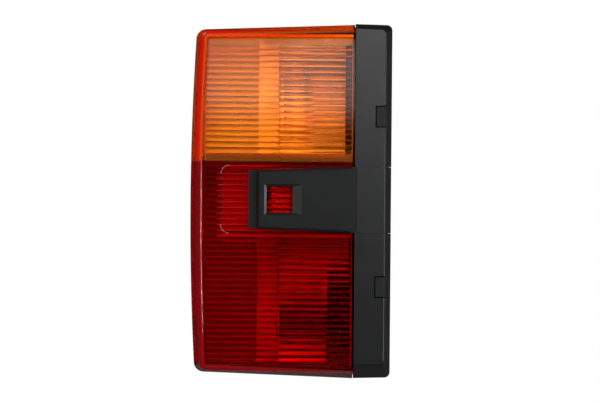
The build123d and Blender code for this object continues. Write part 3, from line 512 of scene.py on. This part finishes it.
def zone(tree, place, fade, limits):
    """A share of 1 inside limits of x, y or z and of 0 outside, with a border as soft as the fade is wide."""
    parts = add_node(tree, "ShaderNodeSeparateXYZ", None, {"Vector": place})
    share = None
    for axis, ends in limits.items():
        for end, side in zip(ends, (0.5, -0.5)):
            if end is None:
                continue
            step = add_node(
                tree, "ShaderNodeMapRange", {"From Min": end - side * fade, "From Max": end + side * fade},
                {"Value": parts.outputs[axis]}, interpolation_type="SMOOTHSTEP",
            ).outputs["Result"]
            if share:
                both = add_node(tree, "ShaderNodeMath", None, {0: share, 1: step}, operation="MULTIPLY")
                step = both.outputs["Value"]
            share = step
    return share


def coated(tree, place, base, coats):
    """A colour with coats over it, each of them a colour, the width of its border and its limits."""
    for colour, fade, limits in coats:
        mix = add_node(
            tree, "ShaderNodeMix", {"B": opaque(colour)}, {"Factor": zone(tree, place, fade, limits), "A": base},
            data_type="RGBA",
        )
        base = mix.outputs["Result"]
    return base


def moulded_acrylic(name, sizes, face, lip, wall, edge, slope_highlight, dye, density, index):
    """Injection moulded acrylic, polished: clear to look through, with a faint haze. Along the left, top and
    bottom edges, where the eye looks down the length of the wall, the dye is so deep that little gets through.
    The slopes round the pocket have a pale tint, a painted highlight, which lets less light through. The index
    is below acrylic's usual 1.49, because the flutes of the solids are deep and would scatter what lies behind
    them."""
    material, tree, place = new_material(name)
    haze = add_node(
        tree, "ShaderNodeTexNoise", {"Scale": per(HAZE_WIDTH), "Detail": 5.0, "Roughness": 0.6}, {"Vector": place},
    )
    rough = add_node(
        tree, "ShaderNodeMapRange",
        {"From Min": HAZE_RANGE[0], "From Max": HAZE_RANGE[1], "To Min": POLISH[0], "To Max": POLISH[1]},
        {"Value": haze.outputs["Fac"]},
    )
    # How far a point lies beyond the tapered upper and lower edges, and beyond the bowed left one
    parts = add_node(tree, "ShaderNodeSeparateXYZ", None, {"Vector": place})
    x, z = parts.outputs["X"], parts.outputs["Z"]
    up = add_node(tree, "ShaderNodeMath", None, {0: z}, operation="ABSOLUTE").outputs["Value"]
    taper = add_node(
        tree, "ShaderNodeMath", {1: -sizes.edge_taper, 2: -sizes.edge_height}, {0: x}, operation="MULTIPLY_ADD",
    ).outputs["Value"]
    above = add_node(tree, "ShaderNodeMath", None, {0: taper, 1: up}, operation="ADD").outputs["Value"]
    square = add_node(tree, "ShaderNodeMath", None, {0: z, 1: z}, operation="MULTIPLY").outputs["Value"]
    bow = add_node(
        tree, "ShaderNodeMath", {1: 0.5 / sizes.edge_bow, 2: sizes.edge_left}, {0: square},
        operation="MULTIPLY_ADD",
    ).outputs["Value"]
    beside = add_node(tree, "ShaderNodeMath", None, {0: bow, 1: x}, operation="SUBTRACT").outputs["Value"]
    beyond = add_node(
        tree, "ShaderNodeMath", {2: EDGE_ROUND}, {0: above, 1: beside}, operation="SMOOTH_MAX",
    ).outputs["Value"]
    near, out = [
        add_node(
            tree, "ShaderNodeMapRange", {"From Min": start * sizes.edge_fade, "From Max": end * sizes.edge_fade},
            {"Value": beyond}, interpolation_type="SMOOTHSTEP",
        ).outputs["Result"]
        for start, end in (WALL_BORDER, EDGE_BORDER)
    ]
    front = zone(tree, place, sizes.edge_fade, {"Y": (None, sizes.edge_depth - sizes.edge_fade / 2)})
    deep = add_node(tree, "ShaderNodeMath", None, {0: out, 1: front}, operation="MULTIPLY").outputs["Value"]
    over = add_node(
        tree, "ShaderNodeMath", {1: sizes.seam_height}, {0: z}, operation="GREATER_THAN",
    ).outputs["Value"]
    # The slopes round the pocket, told from the faces by their normal; their pale tint is a painted highlight
    normal = add_node(tree, "ShaderNodeTexCoord").outputs["Normal"]
    facing = add_node(tree, "ShaderNodeSeparateXYZ", None, {"Vector": normal}).outputs["Y"]
    slope = add_node(
        tree, "ShaderNodeMath", {1: -math.cos(POCKET_SLOPE), 2: SLOPE_SPREAD}, {0: facing}, operation="COMPARE",
    ).outputs["Value"]
    pocket = zone(
        tree, place, SLOPE_HIGHLIGHT_FADE, {"X": (sizes.slope_highlight_left, None), "Z": (-sizes.slope_highlight_reach, sizes.slope_highlight_reach)},
    )
    matt = add_node(tree, "ShaderNodeMath", None, {0: slope, 1: pocket}, operation="MULTIPLY").outputs["Value"]
    tint = None
    for colour, share in ((lip, over), (wall, near), (edge, deep), (slope_highlight, matt)):
        mix = add_node(
            tree, "ShaderNodeMix", {"A": opaque(face), "B": opaque(colour)}, {"Factor": share}, data_type="RGBA",
        )
        if tint:
            tree.links.new(tint, mix.inputs["A"])
        tint = mix.outputs["Result"]
    clear = add_node(
        tree, "ShaderNodeMath", {1: EDGE_CLEAR - 1.0, 2: 1.0}, {0: deep}, operation="MULTIPLY_ADD",
    ).outputs["Value"]
    clear = add_node(
        tree, "ShaderNodeMath", {1: SLOPE_HIGHLIGHT_CLEAR - 1.0}, {0: matt, 2: clear}, operation="MULTIPLY_ADD",
    ).outputs["Value"]
    shader = add_node(
        tree, "ShaderNodeBsdfPrincipled", {"IOR": index},
        {"Base Color": tint, "Roughness": rough.outputs["Result"], "Transmission Weight": clear},
    )
    body = add_node(tree, "ShaderNodeVolumeAbsorption", {"Color": opaque(dye), "Density": density})
    add_node(
        tree, "ShaderNodeOutputMaterial", None,
        {"Surface": shader.outputs["BSDF"], "Volume": body.outputs["Volume"]},
    )
    return material


def surface(tree, place, colour, dull, patches, coats, gloss, rough, relief, strength, depth, values):
    """Ends an opaque material: its colour is dulled in patches and lies under coats, its roughness runs between
    two values with the gloss, and the relief stands out by the depth in millimetres."""
    shade = add_node(
        tree, "ShaderNodeMix", {"A": opaque([dull * c for c in colour]), "B": opaque(colour)},
        {"Factor": patches}, data_type="RGBA",
    )
    blur = add_node(
        tree, "ShaderNodeMapRange",
        {"From Min": NOISE_RANGE[0], "From Max": NOISE_RANGE[1], "To Min": rough[0], "To Max": rough[1]},
        {"Value": gloss},
    )
    bump = add_node(tree, "ShaderNodeBump", {"Strength": strength, "Distance": depth * MM}, {"Height": relief})
    shader = add_node(
        tree, "ShaderNodeBsdfPrincipled", values,
        {
            "Base Color": coated(tree, place, shade.outputs["Result"], coats),
            "Roughness": blur.outputs["Result"],
            "Normal": bump.outputs["Normal"],
        },
    )
    add_node(tree, "ShaderNodeOutputMaterial", None, {"Surface": shader.outputs["BSDF"]})


def grained_abs(name, colour, grain, rough, depth, coats=(), shine=PLAIN_SHINE):
    """Moulded ABS with a spark eroded grain: satin, never quite even, with a soft broken highlight. Nylon,
    rubber and foam are made the same way. The grain's width and depth are in millimetres, and a real grain of
    a tenth of a millimetre is drawn coarser so that it shows."""
    material, tree, place = new_material(name)
    pits = add_node(
        tree, "ShaderNodeTexNoise", {"Scale": per(grain), "Detail": 3.0, "Roughness": 0.6}, {"Vector": place},
    )
    cloud = add_node(tree, "ShaderNodeTexNoise", {"Scale": per(CLOUD_WIDTH), "Detail": 4.0}, {"Vector": place})
    surface(
        tree, place, colour, CLOUD_SHADE, cloud.outputs["Fac"], coats, gloss=cloud.outputs["Fac"],
        rough=[rough + change for change in CLOUD_ROUGH], relief=pits.outputs["Fac"], strength=GRAIN_STRENGTH,
        depth=depth, values={"IOR": ABS_INDEX, "Specular IOR Level": shine},
    )
    return material


def metal(name, colour, rough, grain, stretch=EVEN, depth=0.05, dull=0.78, coats=()):
    """Plated, coated or drawn metal: a clear colour in its reflections, with duller spots and fine streaks.
    The width and depth of the streaks are in millimetres, and the stretch is less than 1 along them."""
    material, tree, place = new_material(name)
    turned = add_node(tree, "ShaderNodeMapping", {"Scale": stretch}, {"Vector": place})
    streak = add_node(
        tree, "ShaderNodeTexNoise", {"Scale": per(grain), "Detail": 4.0}, {"Vector": turned.outputs["Vector"]},
    )
    bloom = add_node(tree, "ShaderNodeTexNoise", {"Scale": per(BLOOM_WIDTH), "Detail": 3.0}, {"Vector": place})
    surface(
        tree, place, colour, dull, bloom.outputs["Fac"], coats, gloss=streak.outputs["Fac"],
        rough=[rough * change for change in STREAK_ROUGH], relief=streak.outputs["Fac"],
        strength=STREAK_STRENGTH, depth=depth, values={"Metallic": 1.0},
    )
    return material


def lamp_glass(name, colour):
    """Blown lamp glass: thin, clear and very smooth, with a trace of waviness."""
    material, tree, place = new_material(name)
    wave = add_node(tree, "ShaderNodeTexNoise", {"Scale": per(WAVE_WIDTH), "Detail": 1.0}, {"Vector": place})
    relief = add_node(
        tree, "ShaderNodeBump", {"Strength": WAVE_STRENGTH, "Distance": WAVE_DEPTH},
        {"Height": wave.outputs["Fac"]},
    )
    shader = add_node(
        tree, "ShaderNodeBsdfPrincipled",
        {
            "Base Color": opaque(colour), "Roughness": GLASS_ROUGH, "IOR": GLASS_INDEX,
            "Transmission Weight": 1.0,
        },
        {"Normal": relief.outputs["Normal"]},
    )
    add_node(tree, "ShaderNodeOutputMaterial", None, {"Surface": shader.outputs["BSDF"]})
    return material


def dress(material, *nodes):
    """Gives CAD nodes a material in place of the plain one they came with."""
    for node in nodes:
        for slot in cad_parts[node].material_slots:
            slot.material = material


def dress_both(material, *pieces):
    """Gives a material to pieces that both the turn lamp and the stop lamp have."""
    dress(material, *[f"{lamp}_{piece}" for lamp in LAMPS for piece in pieces])


class LAMP_OT_lenses(bpy.types.Operator):
    """Gives the amber and the red lens their dyed acrylic"""

    bl_idname = "lamp.dress_lenses"
    bl_label = "Dress Lenses"

    def execute(self, context):
        colours = context.scene.lamp_colours
        sizes = context.scene.lamp_sizes
        # Glowing orange where bright metal lies behind it, brown over the dark parts; it has no lip or pocket
        amber = moulded_acrylic(
            "amber_acrylic_moulded", sizes, face=colours.amber_face, lip=colours.amber_face,
            wall=colours.amber_wall, edge=colours.amber_edge, slope_highlight=colours.amber_face, dye=colours.amber_dye,
            density=colours.amber_density, index=colours.amber_index,
        )
        dress(amber, "amber_lens")
        # A deep clear red, darker along its edges, with a painted highlight on the slopes round its pocket
        red = moulded_acrylic(
            "red_acrylic_moulded", sizes, face=colours.red_face, lip=colours.red_lip,
            wall=colours.red_wall, edge=colours.red_edge, slope_highlight=colours.red_slope_highlight, dye=colours.red_dye,
            density=colours.red_density, index=colours.red_index,
        )
        dress(red, "red_lens")
        return {"FINISHED"}


class LAMP_OT_covers(bpy.types.Operator):
    """Gives the side cover and the centre panel their grained black ABS"""

    bl_idname = "lamp.dress_covers"
    bl_label = "Dress Covers"

    def execute(self, context):
        colours = context.scene.lamp_colours
        # Black with a soft grey sheen, a little smoother on the panel
        cover = grained_abs("black_abs_cover", colours.cover_black, grain=0.9, rough=0.37, depth=0.06)
        dress(cover, "side_cover")
        panel = grained_abs("black_abs_panel", colours.panel_black, grain=0.9, rough=0.36, depth=0.05)
        dress(panel, "centre_panel")
        return {"FINISHED"}


class LAMP_OT_housing(bpy.types.Operator):
    """Gives the flange, the tub, the seal and the gasket their plastics and rubber"""

    bl_idname = "lamp.dress_housing"
    bl_label = "Dress Housing"

    def execute(self, context):
        colours = context.scene.lamp_colours
        sizes = context.scene.lamp_sizes
        # Painted shade: the flange's upper end is darker grey where the lens's top wall shades it
        flange_top_shade = (colours.flange_top_shade_grey, CRISP, {"Z": (sizes.flange_top_shade_height, None)})
        webs = (
            colours.cover_black, CRISP,
            {"X": (sizes.paint_left, None), "Z": (-sizes.paint_reach, sizes.paint_reach)},
        )
        tongues = (colours.tongue_black, CRISP, {"X": (sizes.tongue_left, None)})
        # Painted light on the shelf where the centre panel shades it
        lit_patch = (
            colours.painted_light_grey, CRISP,
            {"X": (sizes.painted_light_left, None), "Z": (-sizes.painted_light_reach, sizes.painted_light_reach)},
        )
        # Pale grey satin outside; inside the lamp, lacquer takes the shine off
        flange = grained_abs(
            "grey_abs_flange_painted", colours.housing_grey, grain=1.2, rough=0.45, depth=0.05,
            coats=(flange_top_shade, webs, tongues), shine=FLANGE_SHINE,
        )
        dress(flange, "housing")
        dress(grained_abs("grey_abs_tub", colours.housing_grey, grain=1.2, rough=0.45, depth=0.05), "tub")
        # Mid grey shelf, with painted light behind the centre panel
        shelf = grained_abs(
            "grey_abs_shelf_painted_light", colours.shelf_grey, grain=1.2, rough=0.5, depth=0.05, coats=(lit_patch,),
            shine=SHELF_SHINE,
        )
        dress(shelf, "stop_shelf")
        # The shield is a dark sheet put where the lower bulb casts its shadow: painted shade
        shield = grained_abs(
            "grey_abs_shadow_shield", colours.shadow_shield_grey, grain=1.2, rough=0.5, depth=0.05, shine=SHELF_SHINE,
        )
        dress(shield, "stop_shield")
        # Rubber is dull, and the foam is duller still, with coarse pores
        rubber = grained_abs("black_rubber_seal", colours.rubber_black, grain=1.0, rough=0.7, depth=0.08)
        dress_both(rubber, "holder_washer")
        dress(grained_abs("grey_rubber_seal", colours.seal_grey, grain=1.0, rough=0.7, depth=0.08), "lens_seal")
        foam = grained_abs("black_foam_gasket", colours.rubber_black, grain=1.1, rough=0.85, depth=0.4)
        dress(foam, "body_gasket")
        return {"FINISHED"}


class LAMP_OT_metals(bpy.types.Operator):
    """Gives the studs, reflectors, caps, sleeves and contacts their metals"""

    bl_idname = "lamp.dress_metals"
    bl_label = "Dress Metals"

    def execute(self, context):
        colours = context.scene.lamp_colours
        # Zinc plate: pale grey with a dull shine
        dress(metal("zinc_plated_steel", colours.zinc, rough=0.32, grain=0.4), "mounting_studs")
        sheet = metal("zinc_plated_sheet", colours.zinc, rough=0.3, grain=0.5, stretch=(0.2, 1, 1))
        dress_both(sheet, "lamp_sleeve")
        self.reflectors(colours, context.scene.lamp_sizes)
        # Nickel plate: bright and slightly warm
        nickel = metal(
            "nickel_plated_brass", colours.nickel, rough=0.45, grain=0.3, stretch=(1, 0.1, 0.1), depth=0.02,
            dull=0.96,
        )
        dress_both(nickel, "bulb_cap")
        # Brass is yellow with streaks from the press, and tungsten a dark grey wire
        brass = metal("brass_stamped", colours.brass, rough=0.25, grain=0.4, stretch=(0.2, 1, 1))
        dress_both(brass, "contacts", "terminals")
        tungsten = metal("tungsten_drawn", colours.tungsten, rough=0.35, grain=0.2, stretch=(0.1, 1, 1))
        dress_both(tungsten, "bulb_filament")
        return {"FINISHED"}

    def reflectors(self, colours, sizes):
        """Vacuum coats: bright, slightly blurred mirrors. Darker coats paint shade on the shelf and the facets, at
        the tops above the lamps and behind the upper cap, and the lip's shadow at the upper reflector's foot.
        """
        # Painted shade: a darker coat on the shelf
        shelf = (colours.shelf_shade_coat, CRISP, {"X": (None, sizes.shelf_right)})
        # Painted shade on the slanted end of the upper trough
        bright = (colours.turn_facet_shade_coat, CRISP, {"X": (sizes.shelf_right, sizes.facet_right)})
        # Painted shade behind the cap of the upper lamp
        behind = (
            colours.cap_shade_coat, sizes.turn_shade_fade, {"X": (sizes.cap_shade_left, None), "Z": (sizes.cap_shade_foot, None)},
        )
        # Painted shade at the top of the upper reflector
        heat = (
            colours.reflector_shade_coat, sizes.turn_shade_fade, {"X": (sizes.top_shade_left, None), "Z": (sizes.turn_top_shade_height, None)},
        )
        # Painted shadow of the lens's lip at the foot of the upper reflector
        foot = (colours.reflector_shade_coat, sizes.lip_shadow_fade, {"Z": (None, sizes.lip_shadow_height)})
        turn = metal(
            "vacuum_metallised_abs", colours.metallised, rough=0.3, grain=COAT_GRAIN, depth=0.0, dull=0.97,
            coats=(shelf, bright, behind, heat, foot),
        )
        dress(turn, "turn_reflector")
        # Painted shade on the slanted end of the lower trough
        stop_facet_shade = (colours.stop_facet_shade_coat, CRISP, {"X": (None, sizes.facet_right)})
        # Painted shade at the top of the lower trough
        stop_top_shade = (
            colours.stop_top_shade_coat, sizes.stop_top_shade_fade, {"X": (sizes.top_shade_left, None), "Z": (sizes.stop_top_shade_height, None)},
        )
        stop = metal(
            "vacuum_metallised_abs_satin", colours.metallised, rough=0.4, grain=COAT_GRAIN, depth=0.0, dull=0.97,
            coats=(stop_facet_shade, stop_top_shade),
        )
        dress(stop, "stop_reflector")
        block = metal(
            "aluminium_lacquered", colours.lacquered, rough=0.35, grain=COAT_GRAIN, depth=0.0, dull=0.9,
        )
        dress(block, "window_reflector")


def pick(piece, test):
    """Opens a piece in edit mode with those vertices selected whose place passes a test."""
    bpy.ops.object.mode_set(mode="EDIT")
    bpy.ops.mesh.select_mode(type="VERT")
    bpy.ops.mesh.select_all(action="DESELECT")
    bpy.ops.object.mode_set(mode="OBJECT")
    for vertex in piece.data.vertices:
        vertex.select = test(vertex.co)
    bpy.ops.object.mode_set(mode="EDIT")


def open_all():
    """Opens the active piece in edit mode with all of it selected."""
    bpy.ops.object.mode_set(mode="EDIT")
    bpy.ops.mesh.select_all(action="SELECT")


def shift(way):
    """Moves the mesh of the active piece."""
    open_all()
    bpy.ops.transform.translate(value=way)
    bpy.ops.object.mode_set(mode="OBJECT")


def join(name, *pieces):
    """Joins pieces to one with a name."""
    bpy.ops.object.select_all(action="DESELECT")
    for piece in pieces:
        piece.select_set(True)
    bpy.context.view_layer.objects.active = pieces[0]
    bpy.ops.object.join()
    pieces[0].name = pieces[0].data.name = name
    return pieces[0]


def rod(radius, low, high):
    """A round rod along y between two depths, its place in its mesh."""
    bpy.ops.object.select_all(action="DESELECT")
    bpy.ops.mesh.primitive_cylinder_add(
        vertices=ROD_SIDES, radius=radius, depth=high - low, location=(0, (low + high) / 2, 0),
        rotation=(math.radians(-90), 0, 0),
    )
    bpy.ops.object.transform_apply(location=True, rotation=True, scale=True)
    return bpy.context.object


def bevel_end(piece, end, size, steps):
    """Bevels the edge round a rod's far end."""
    pick(piece, lambda place: place.y > end - NEAR)
    bpy.ops.mesh.bevel(offset=size, segments=steps, affect="EDGES")
    bpy.ops.object.mode_set(mode="OBJECT")


class LAMP_OT_studs(bpy.types.Operator):
    """Turns the four mounting studs with their rolled threads"""

    bl_idname = "lamp.turn_studs"
    bl_label = "Turn Studs"

    def execute(self, context):
        sizes = context.scene.lamp_sizes
        low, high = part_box("mounting_studs")
        tip = high.y
        core = rod(sizes.core_radius, -sizes.tip_bevel, tip)
        bevel_end(core, tip, sizes.tip_bevel, TIP_STEPS)
        root = rod(sizes.root_radius, low.y, 0.0)
        plain = rod(sizes.thread_radius, -sizes.tip_bevel, sizes.plain_length)
        bevel_end(plain, sizes.plain_length, sizes.thread_radius - sizes.core_radius, PLAIN_STEPS)
        thread = self.thread(sizes, tip)
        stud = join("mounting_studs_threaded", core, root, plain, thread)
        bpy.ops.object.shade_smooth_by_angle(angle=SMOOTH_ANGLE)
        shift((high.x - sizes.root_radius, 0, high.z - sizes.root_radius))
        stud.data.materials.append(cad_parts["mounting_studs"].material_slots[0].material)
        wide = high.x - low.x - 2 * sizes.root_radius
        tall = high.z - low.z - 2 * sizes.root_radius
        copies = [stud]
        for across, down in ((-1, 0), (0, -1), (-1, -1)):
            bpy.ops.object.select_all(action="DESELECT")
            stud.select_set(True)
            bpy.context.view_layer.objects.active = stud
            bpy.ops.object.duplicate(linked=False)
            copies.append(bpy.context.object)
            shift((across * wide, 0, down * tall))
        stud = join("mounting_studs_threaded", *copies)
        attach(stud, "root")
        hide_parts("mounting_studs")
        return {"FINISHED"}

    def thread(self, sizes, tip):
        """The ridge of the thread, a trapezoid wound round y and cut square at both ends."""
        deep = sizes.thread_radius - sizes.core_radius
        tall, foot = RIDGE_SINK * deep, RIDGE_FOOT * sizes.pitch
        bpy.ops.object.select_all(action="DESELECT")
        bpy.ops.mesh.primitive_plane_add(size=1.0, location=(0, 0, 0))
        ridge = bpy.context.object
        open_all()
        bpy.ops.transform.resize(value=(tall, foot, 1))
        shift((sizes.thread_radius - tall / 2, sizes.plain_length - RIDGE_LEAD * sizes.pitch, 0))
        pick(ridge, lambda place: place.x > sizes.thread_radius - deep / 2)
        bpy.ops.transform.resize(value=(1, sizes.crest / foot, 1))
        bpy.ops.object.mode_set(mode="OBJECT")
        screw = ridge.modifiers.new("thread", "SCREW")
        screw.axis, screw.screw_offset = "Y", sizes.pitch
        screw.steps = screw.render_steps = RIDGE_STEPS
        screw.iterations = math.ceil((tip - sizes.plain_length) / sizes.pitch) + 2
        bpy.ops.object.modifier_apply(modifier=screw.name)
        start = sizes.plain_length - RIDGE_START * sizes.pitch
        for level, before in ((start, True), (tip - sizes.tip_bevel, False)):
            open_all()
            bpy.ops.mesh.bisect(
                plane_co=(0, level, 0), plane_no=(0, 1, 0), use_fill=True, clear_inner=before,
                clear_outer=not before,
            )
            bpy.ops.object.mode_set(mode="OBJECT")
        open_all()
        bpy.ops.mesh.normals_make_consistent(inside=False)
        bpy.ops.object.mode_set(mode="OBJECT")
        return ridge


class LAMP_OT_lamps(bpy.types.Operator):
    """Gives the bulbs their glass and the holders their nylon"""

    bl_idname = "lamp.dress_lamps"
    bl_label = "Dress Lamps"

    def execute(self, context):
        colours = context.scene.lamp_colours
        dress_both(lamp_glass("soda_lime_lamp_glass", colours.glass), "bulb_glass")
        # Black nylon: a shade paler and duller than the cover
        nylon = grained_abs("black_nylon_holder", colours.nylon, grain=0.8, rough=0.5, depth=0.05)
        dress_both(nylon, "lamp_holder")
        return {"FINISHED"}


class LAMP_OT_stage(bpy.types.Operator):
    """Sets up the floor, the white studio, its soft lights and the camera"""

    bl_idname = "lamp.set_stage"
    bl_label = "Set Stage"

    def execute(self, context):
        studio = context.scene.lamp_studio
        context.scene.view_settings.view_transform = "Standard"
        self.floor(studio)
        self.world(context, studio)
        for name, (place, size, radiance) in SOFTBOXES.items():
            self.softbox(name, place, size, radiance)
        self.camera(context, studio)
        return {"FINISHED"}

    def floor(self, studio):
        """White paper that takes the lamp's shadow and fades to the plain white of the picture further out."""
        bpy.ops.object.select_all(action="DESELECT")
        bpy.ops.mesh.primitive_plane_add(size=FLOOR_SIZE, location=(0, 0, studio.floor_z))
        floor = bpy.context.object
        floor.name = "studio_floor"
        bpy.ops.object.transform_apply(location=True, rotation=True, scale=True)
        material, tree, place = new_material("white_paper_floor")
        flat = add_node(tree, "ShaderNodeVectorMath", {1: (1, 1, 0)}, {0: place}, operation="MULTIPLY")
        reach = add_node(tree, "ShaderNodeVectorMath", None, {0: flat.outputs["Vector"]}, operation="LENGTH")
        fade = add_node(
            tree, "ShaderNodeMapRange",
            {"From Min": FLOOR_PLAIN * studio.floor_clear, "From Max": studio.floor_clear},
            {"Value": reach.outputs["Value"]}, interpolation_type="SMOOTHSTEP",
        )
        path = add_node(tree, "ShaderNodeLightPath")
        seen = add_node(
            tree, "ShaderNodeMath", None,
            {0: path.outputs["Is Camera Ray"], 1: path.outputs["Is Transmission Ray"]}, operation="ADD",
            use_clamp=True,
        )
        share = add_node(
            tree, "ShaderNodeMath", None, {0: seen.outputs["Value"], 1: fade.outputs["Result"]},
            operation="MULTIPLY",
        )
        paper = add_node(tree, "ShaderNodeBsdfDiffuse", {"Color": opaque(studio.paper_white)})
        shown = paper.outputs["BSDF"]
        for strength, ray in ((1.0, share.outputs["Value"]), (FLOOR_MIRRORED, path.outputs["Is Glossy Ray"])):
            glow = add_node(tree, "ShaderNodeEmission", {"Color": WHITE, "Strength": strength})
            mix = add_node(
                tree, "ShaderNodeMixShader", None, {0: ray, 1: shown, 2: glow.outputs["Emission"]},
            )
            shown = mix.outputs["Shader"]
        add_node(tree, "ShaderNodeOutputMaterial", None, {"Surface": shown})
        floor.data.materials.append(material)

    def world(self, context, studio):
        """A white backdrop, with levels of its own for reflections, for what the lenses let in and for fill."""
        world = bpy.data.worlds.new("white_studio")
        context.scene.world = world
        world.use_nodes = True
        tree = world.node_tree
        tree.nodes.clear()
        path = add_node(tree, "ShaderNodeLightPath")
        direction = add_node(tree, "ShaderNodeTexCoord").outputs["Generated"]
        towards = add_node(tree, "ShaderNodeSeparateXYZ", None, {"Vector": direction}).outputs
        levels = {}
        for name, (axis, (start, end), (first, last)) in LEVELS.items():
            level = add_node(
                tree, "ShaderNodeMapRange",
                {"From Min": start, "From Max": end, "To Min": first, "To Max": last},
                {"Value": towards[axis]}, interpolation_type="SMOOTHSTEP",
            )
            levels[name] = level.outputs["Result"]
        room = add_node(
            tree, "ShaderNodeMath", None, {0: levels["front"], 1: levels["back"]}, operation="MULTIPLY",
        ).outputs["Value"]
        card = self.card(tree, towards, studio.card_level)
        room = add_node(tree, "ShaderNodeMath", None, {0: room, 1: card}, operation="ADD").outputs["Value"]
        shown, walls, through = [
            add_node(tree, "ShaderNodeBackground", {"Color": WHITE}, {"Strength": level}).outputs["Background"]
            for level in (levels["fill"], room, levels["through"])
        ]
        white = add_node(tree, "ShaderNodeBackground", {"Color": WHITE, "Strength": 1.0}).outputs["Background"]
        for ray, look in (("Is Glossy Ray", walls), ("Is Transmission Ray", through), ("Is Camera Ray", white)):
            mix = add_node(tree, "ShaderNodeMixShader", None, {0: path.outputs[ray], 1: shown, 2: look})
            shown = mix.outputs["Shader"]
        add_node(tree, "ShaderNodeOutputWorld", None, {"Surface": shown})

    def card(self, tree, towards, level):
        """The level of a white card behind the camera, which the amber lens mirrors as a pale veil."""
        rise = add_node(
            tree, "ShaderNodeMapRange",
            {"From Min": CARD_RISE[0], "From Max": CARD_RISE[1], "To Min": 0.0, "To Max": level},
            {"Value": towards["Z"]}, interpolation_type="SMOOTHSTEP",
        )
        beside = add_node(
            tree, "ShaderNodeMapRange",
            {"From Min": CARD_SIDE[0], "From Max": CARD_SIDE[1], "To Min": CARD_DIM, "To Max": 1.0},
            {"Value": towards["X"]},
        )
        below = add_node(tree, "ShaderNodeMath", {1: CARD_TOP}, {0: towards["Z"]}, operation="LESS_THAN")
        ahead = add_node(tree, "ShaderNodeMath", {1: CARD_AHEAD}, {0: towards["Y"]}, operation="LESS_THAN")
        card = rise.outputs["Result"]
        for limit in (beside.outputs["Result"], below.outputs["Value"], ahead.outputs["Value"]):
            part = add_node(tree, "ShaderNodeMath", None, {0: card, 1: limit}, operation="MULTIPLY")
            card = part.outputs["Value"]
        return card

    def softbox(self, name, place, size, radiance):
        """A soft rectangular light that points at the lamp."""
        bpy.ops.object.select_all(action="DESELECT")
        bpy.ops.object.light_add(type="AREA", location=place)
        box = bpy.context.object
        box.name = name
        box.data.shape = "RECTANGLE"
        box.data.size, box.data.size_y = size
        box.data.energy = radiance * math.pi * size[0] * size[1]
        box.rotation_euler = (-Vector(place)).to_track_quat("-Z", "Y").to_euler()
        box.visible_camera = False

    def camera(self, context, studio):
        """A long lens straight before the lamp, with the picture's slight tilt."""
        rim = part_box("lens_seal")[0].y
        bpy.ops.object.select_all(action="DESELECT")
        bpy.ops.object.camera_add(
            location=(studio.camera_x, rim - studio.camera_distance, studio.camera_z),
            rotation=(math.radians(90), -studio.camera_roll, 0),
        )
        camera = bpy.context.object
        camera.name = "picture_camera"
        camera.data.sensor_width = SENSOR_WIDTH
        camera.data.lens = studio.camera_lens
        camera.data.clip_end = VIEW_REACH
        context.scene.camera = camera


class LAMP_PT_panel(bpy.types.Panel):
    """Colours, sizes and steps of the tail light cluster"""

    bl_idname = "LAMP_PT_panel"
    bl_label = "Tail Light Cluster"
    bl_space_type = "VIEW_3D"
    bl_region_type = "UI"
    bl_category = "Tail Light"

    def draw(self, context):
        for group in (context.scene.lamp_colours, context.scene.lamp_sizes, context.scene.lamp_studio):
            column = self.layout.column(align=True)
            for name in group.__annotations__:
                column.prop(group, name)
        column = self.layout.column()
        for step in STEPS:
            column.operator(step.bl_idname)


STEPS = (
    LAMP_OT_lenses, LAMP_OT_covers, LAMP_OT_housing, LAMP_OT_metals, LAMP_OT_studs, LAMP_OT_lamps, LAMP_OT_stage,
)
CLASSES = (LampColours, LampSizes, StudioSizes, *STEPS, LAMP_PT_panel)


def register():
    for item in CLASSES:
        bpy.utils.register_class(item)
    bpy.types.Scene.lamp_colours = PointerProperty(type=LampColours)
    bpy.types.Scene.lamp_sizes = PointerProperty(type=LampSizes)
    bpy.types.Scene.lamp_studio = PointerProperty(type=StudioSizes)


def unregister():
    del bpy.types.Scene.lamp_studio
    del bpy.types.Scene.lamp_sizes
    del bpy.types.Scene.lamp_colours
    for item in reversed(CLASSES):
        bpy.utils.unregister_class(item)


def main():
    """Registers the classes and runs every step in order."""
    register()
    bpy.ops.lamp.dress_lenses()
    bpy.ops.lamp.dress_covers()
    bpy.ops.lamp.dress_housing()
    bpy.ops.lamp.dress_metals()
    bpy.ops.lamp.turn_studs()
    bpy.ops.lamp.dress_lamps()
    bpy.ops.lamp.set_stage()


if __name__ == "__main__":
    main()
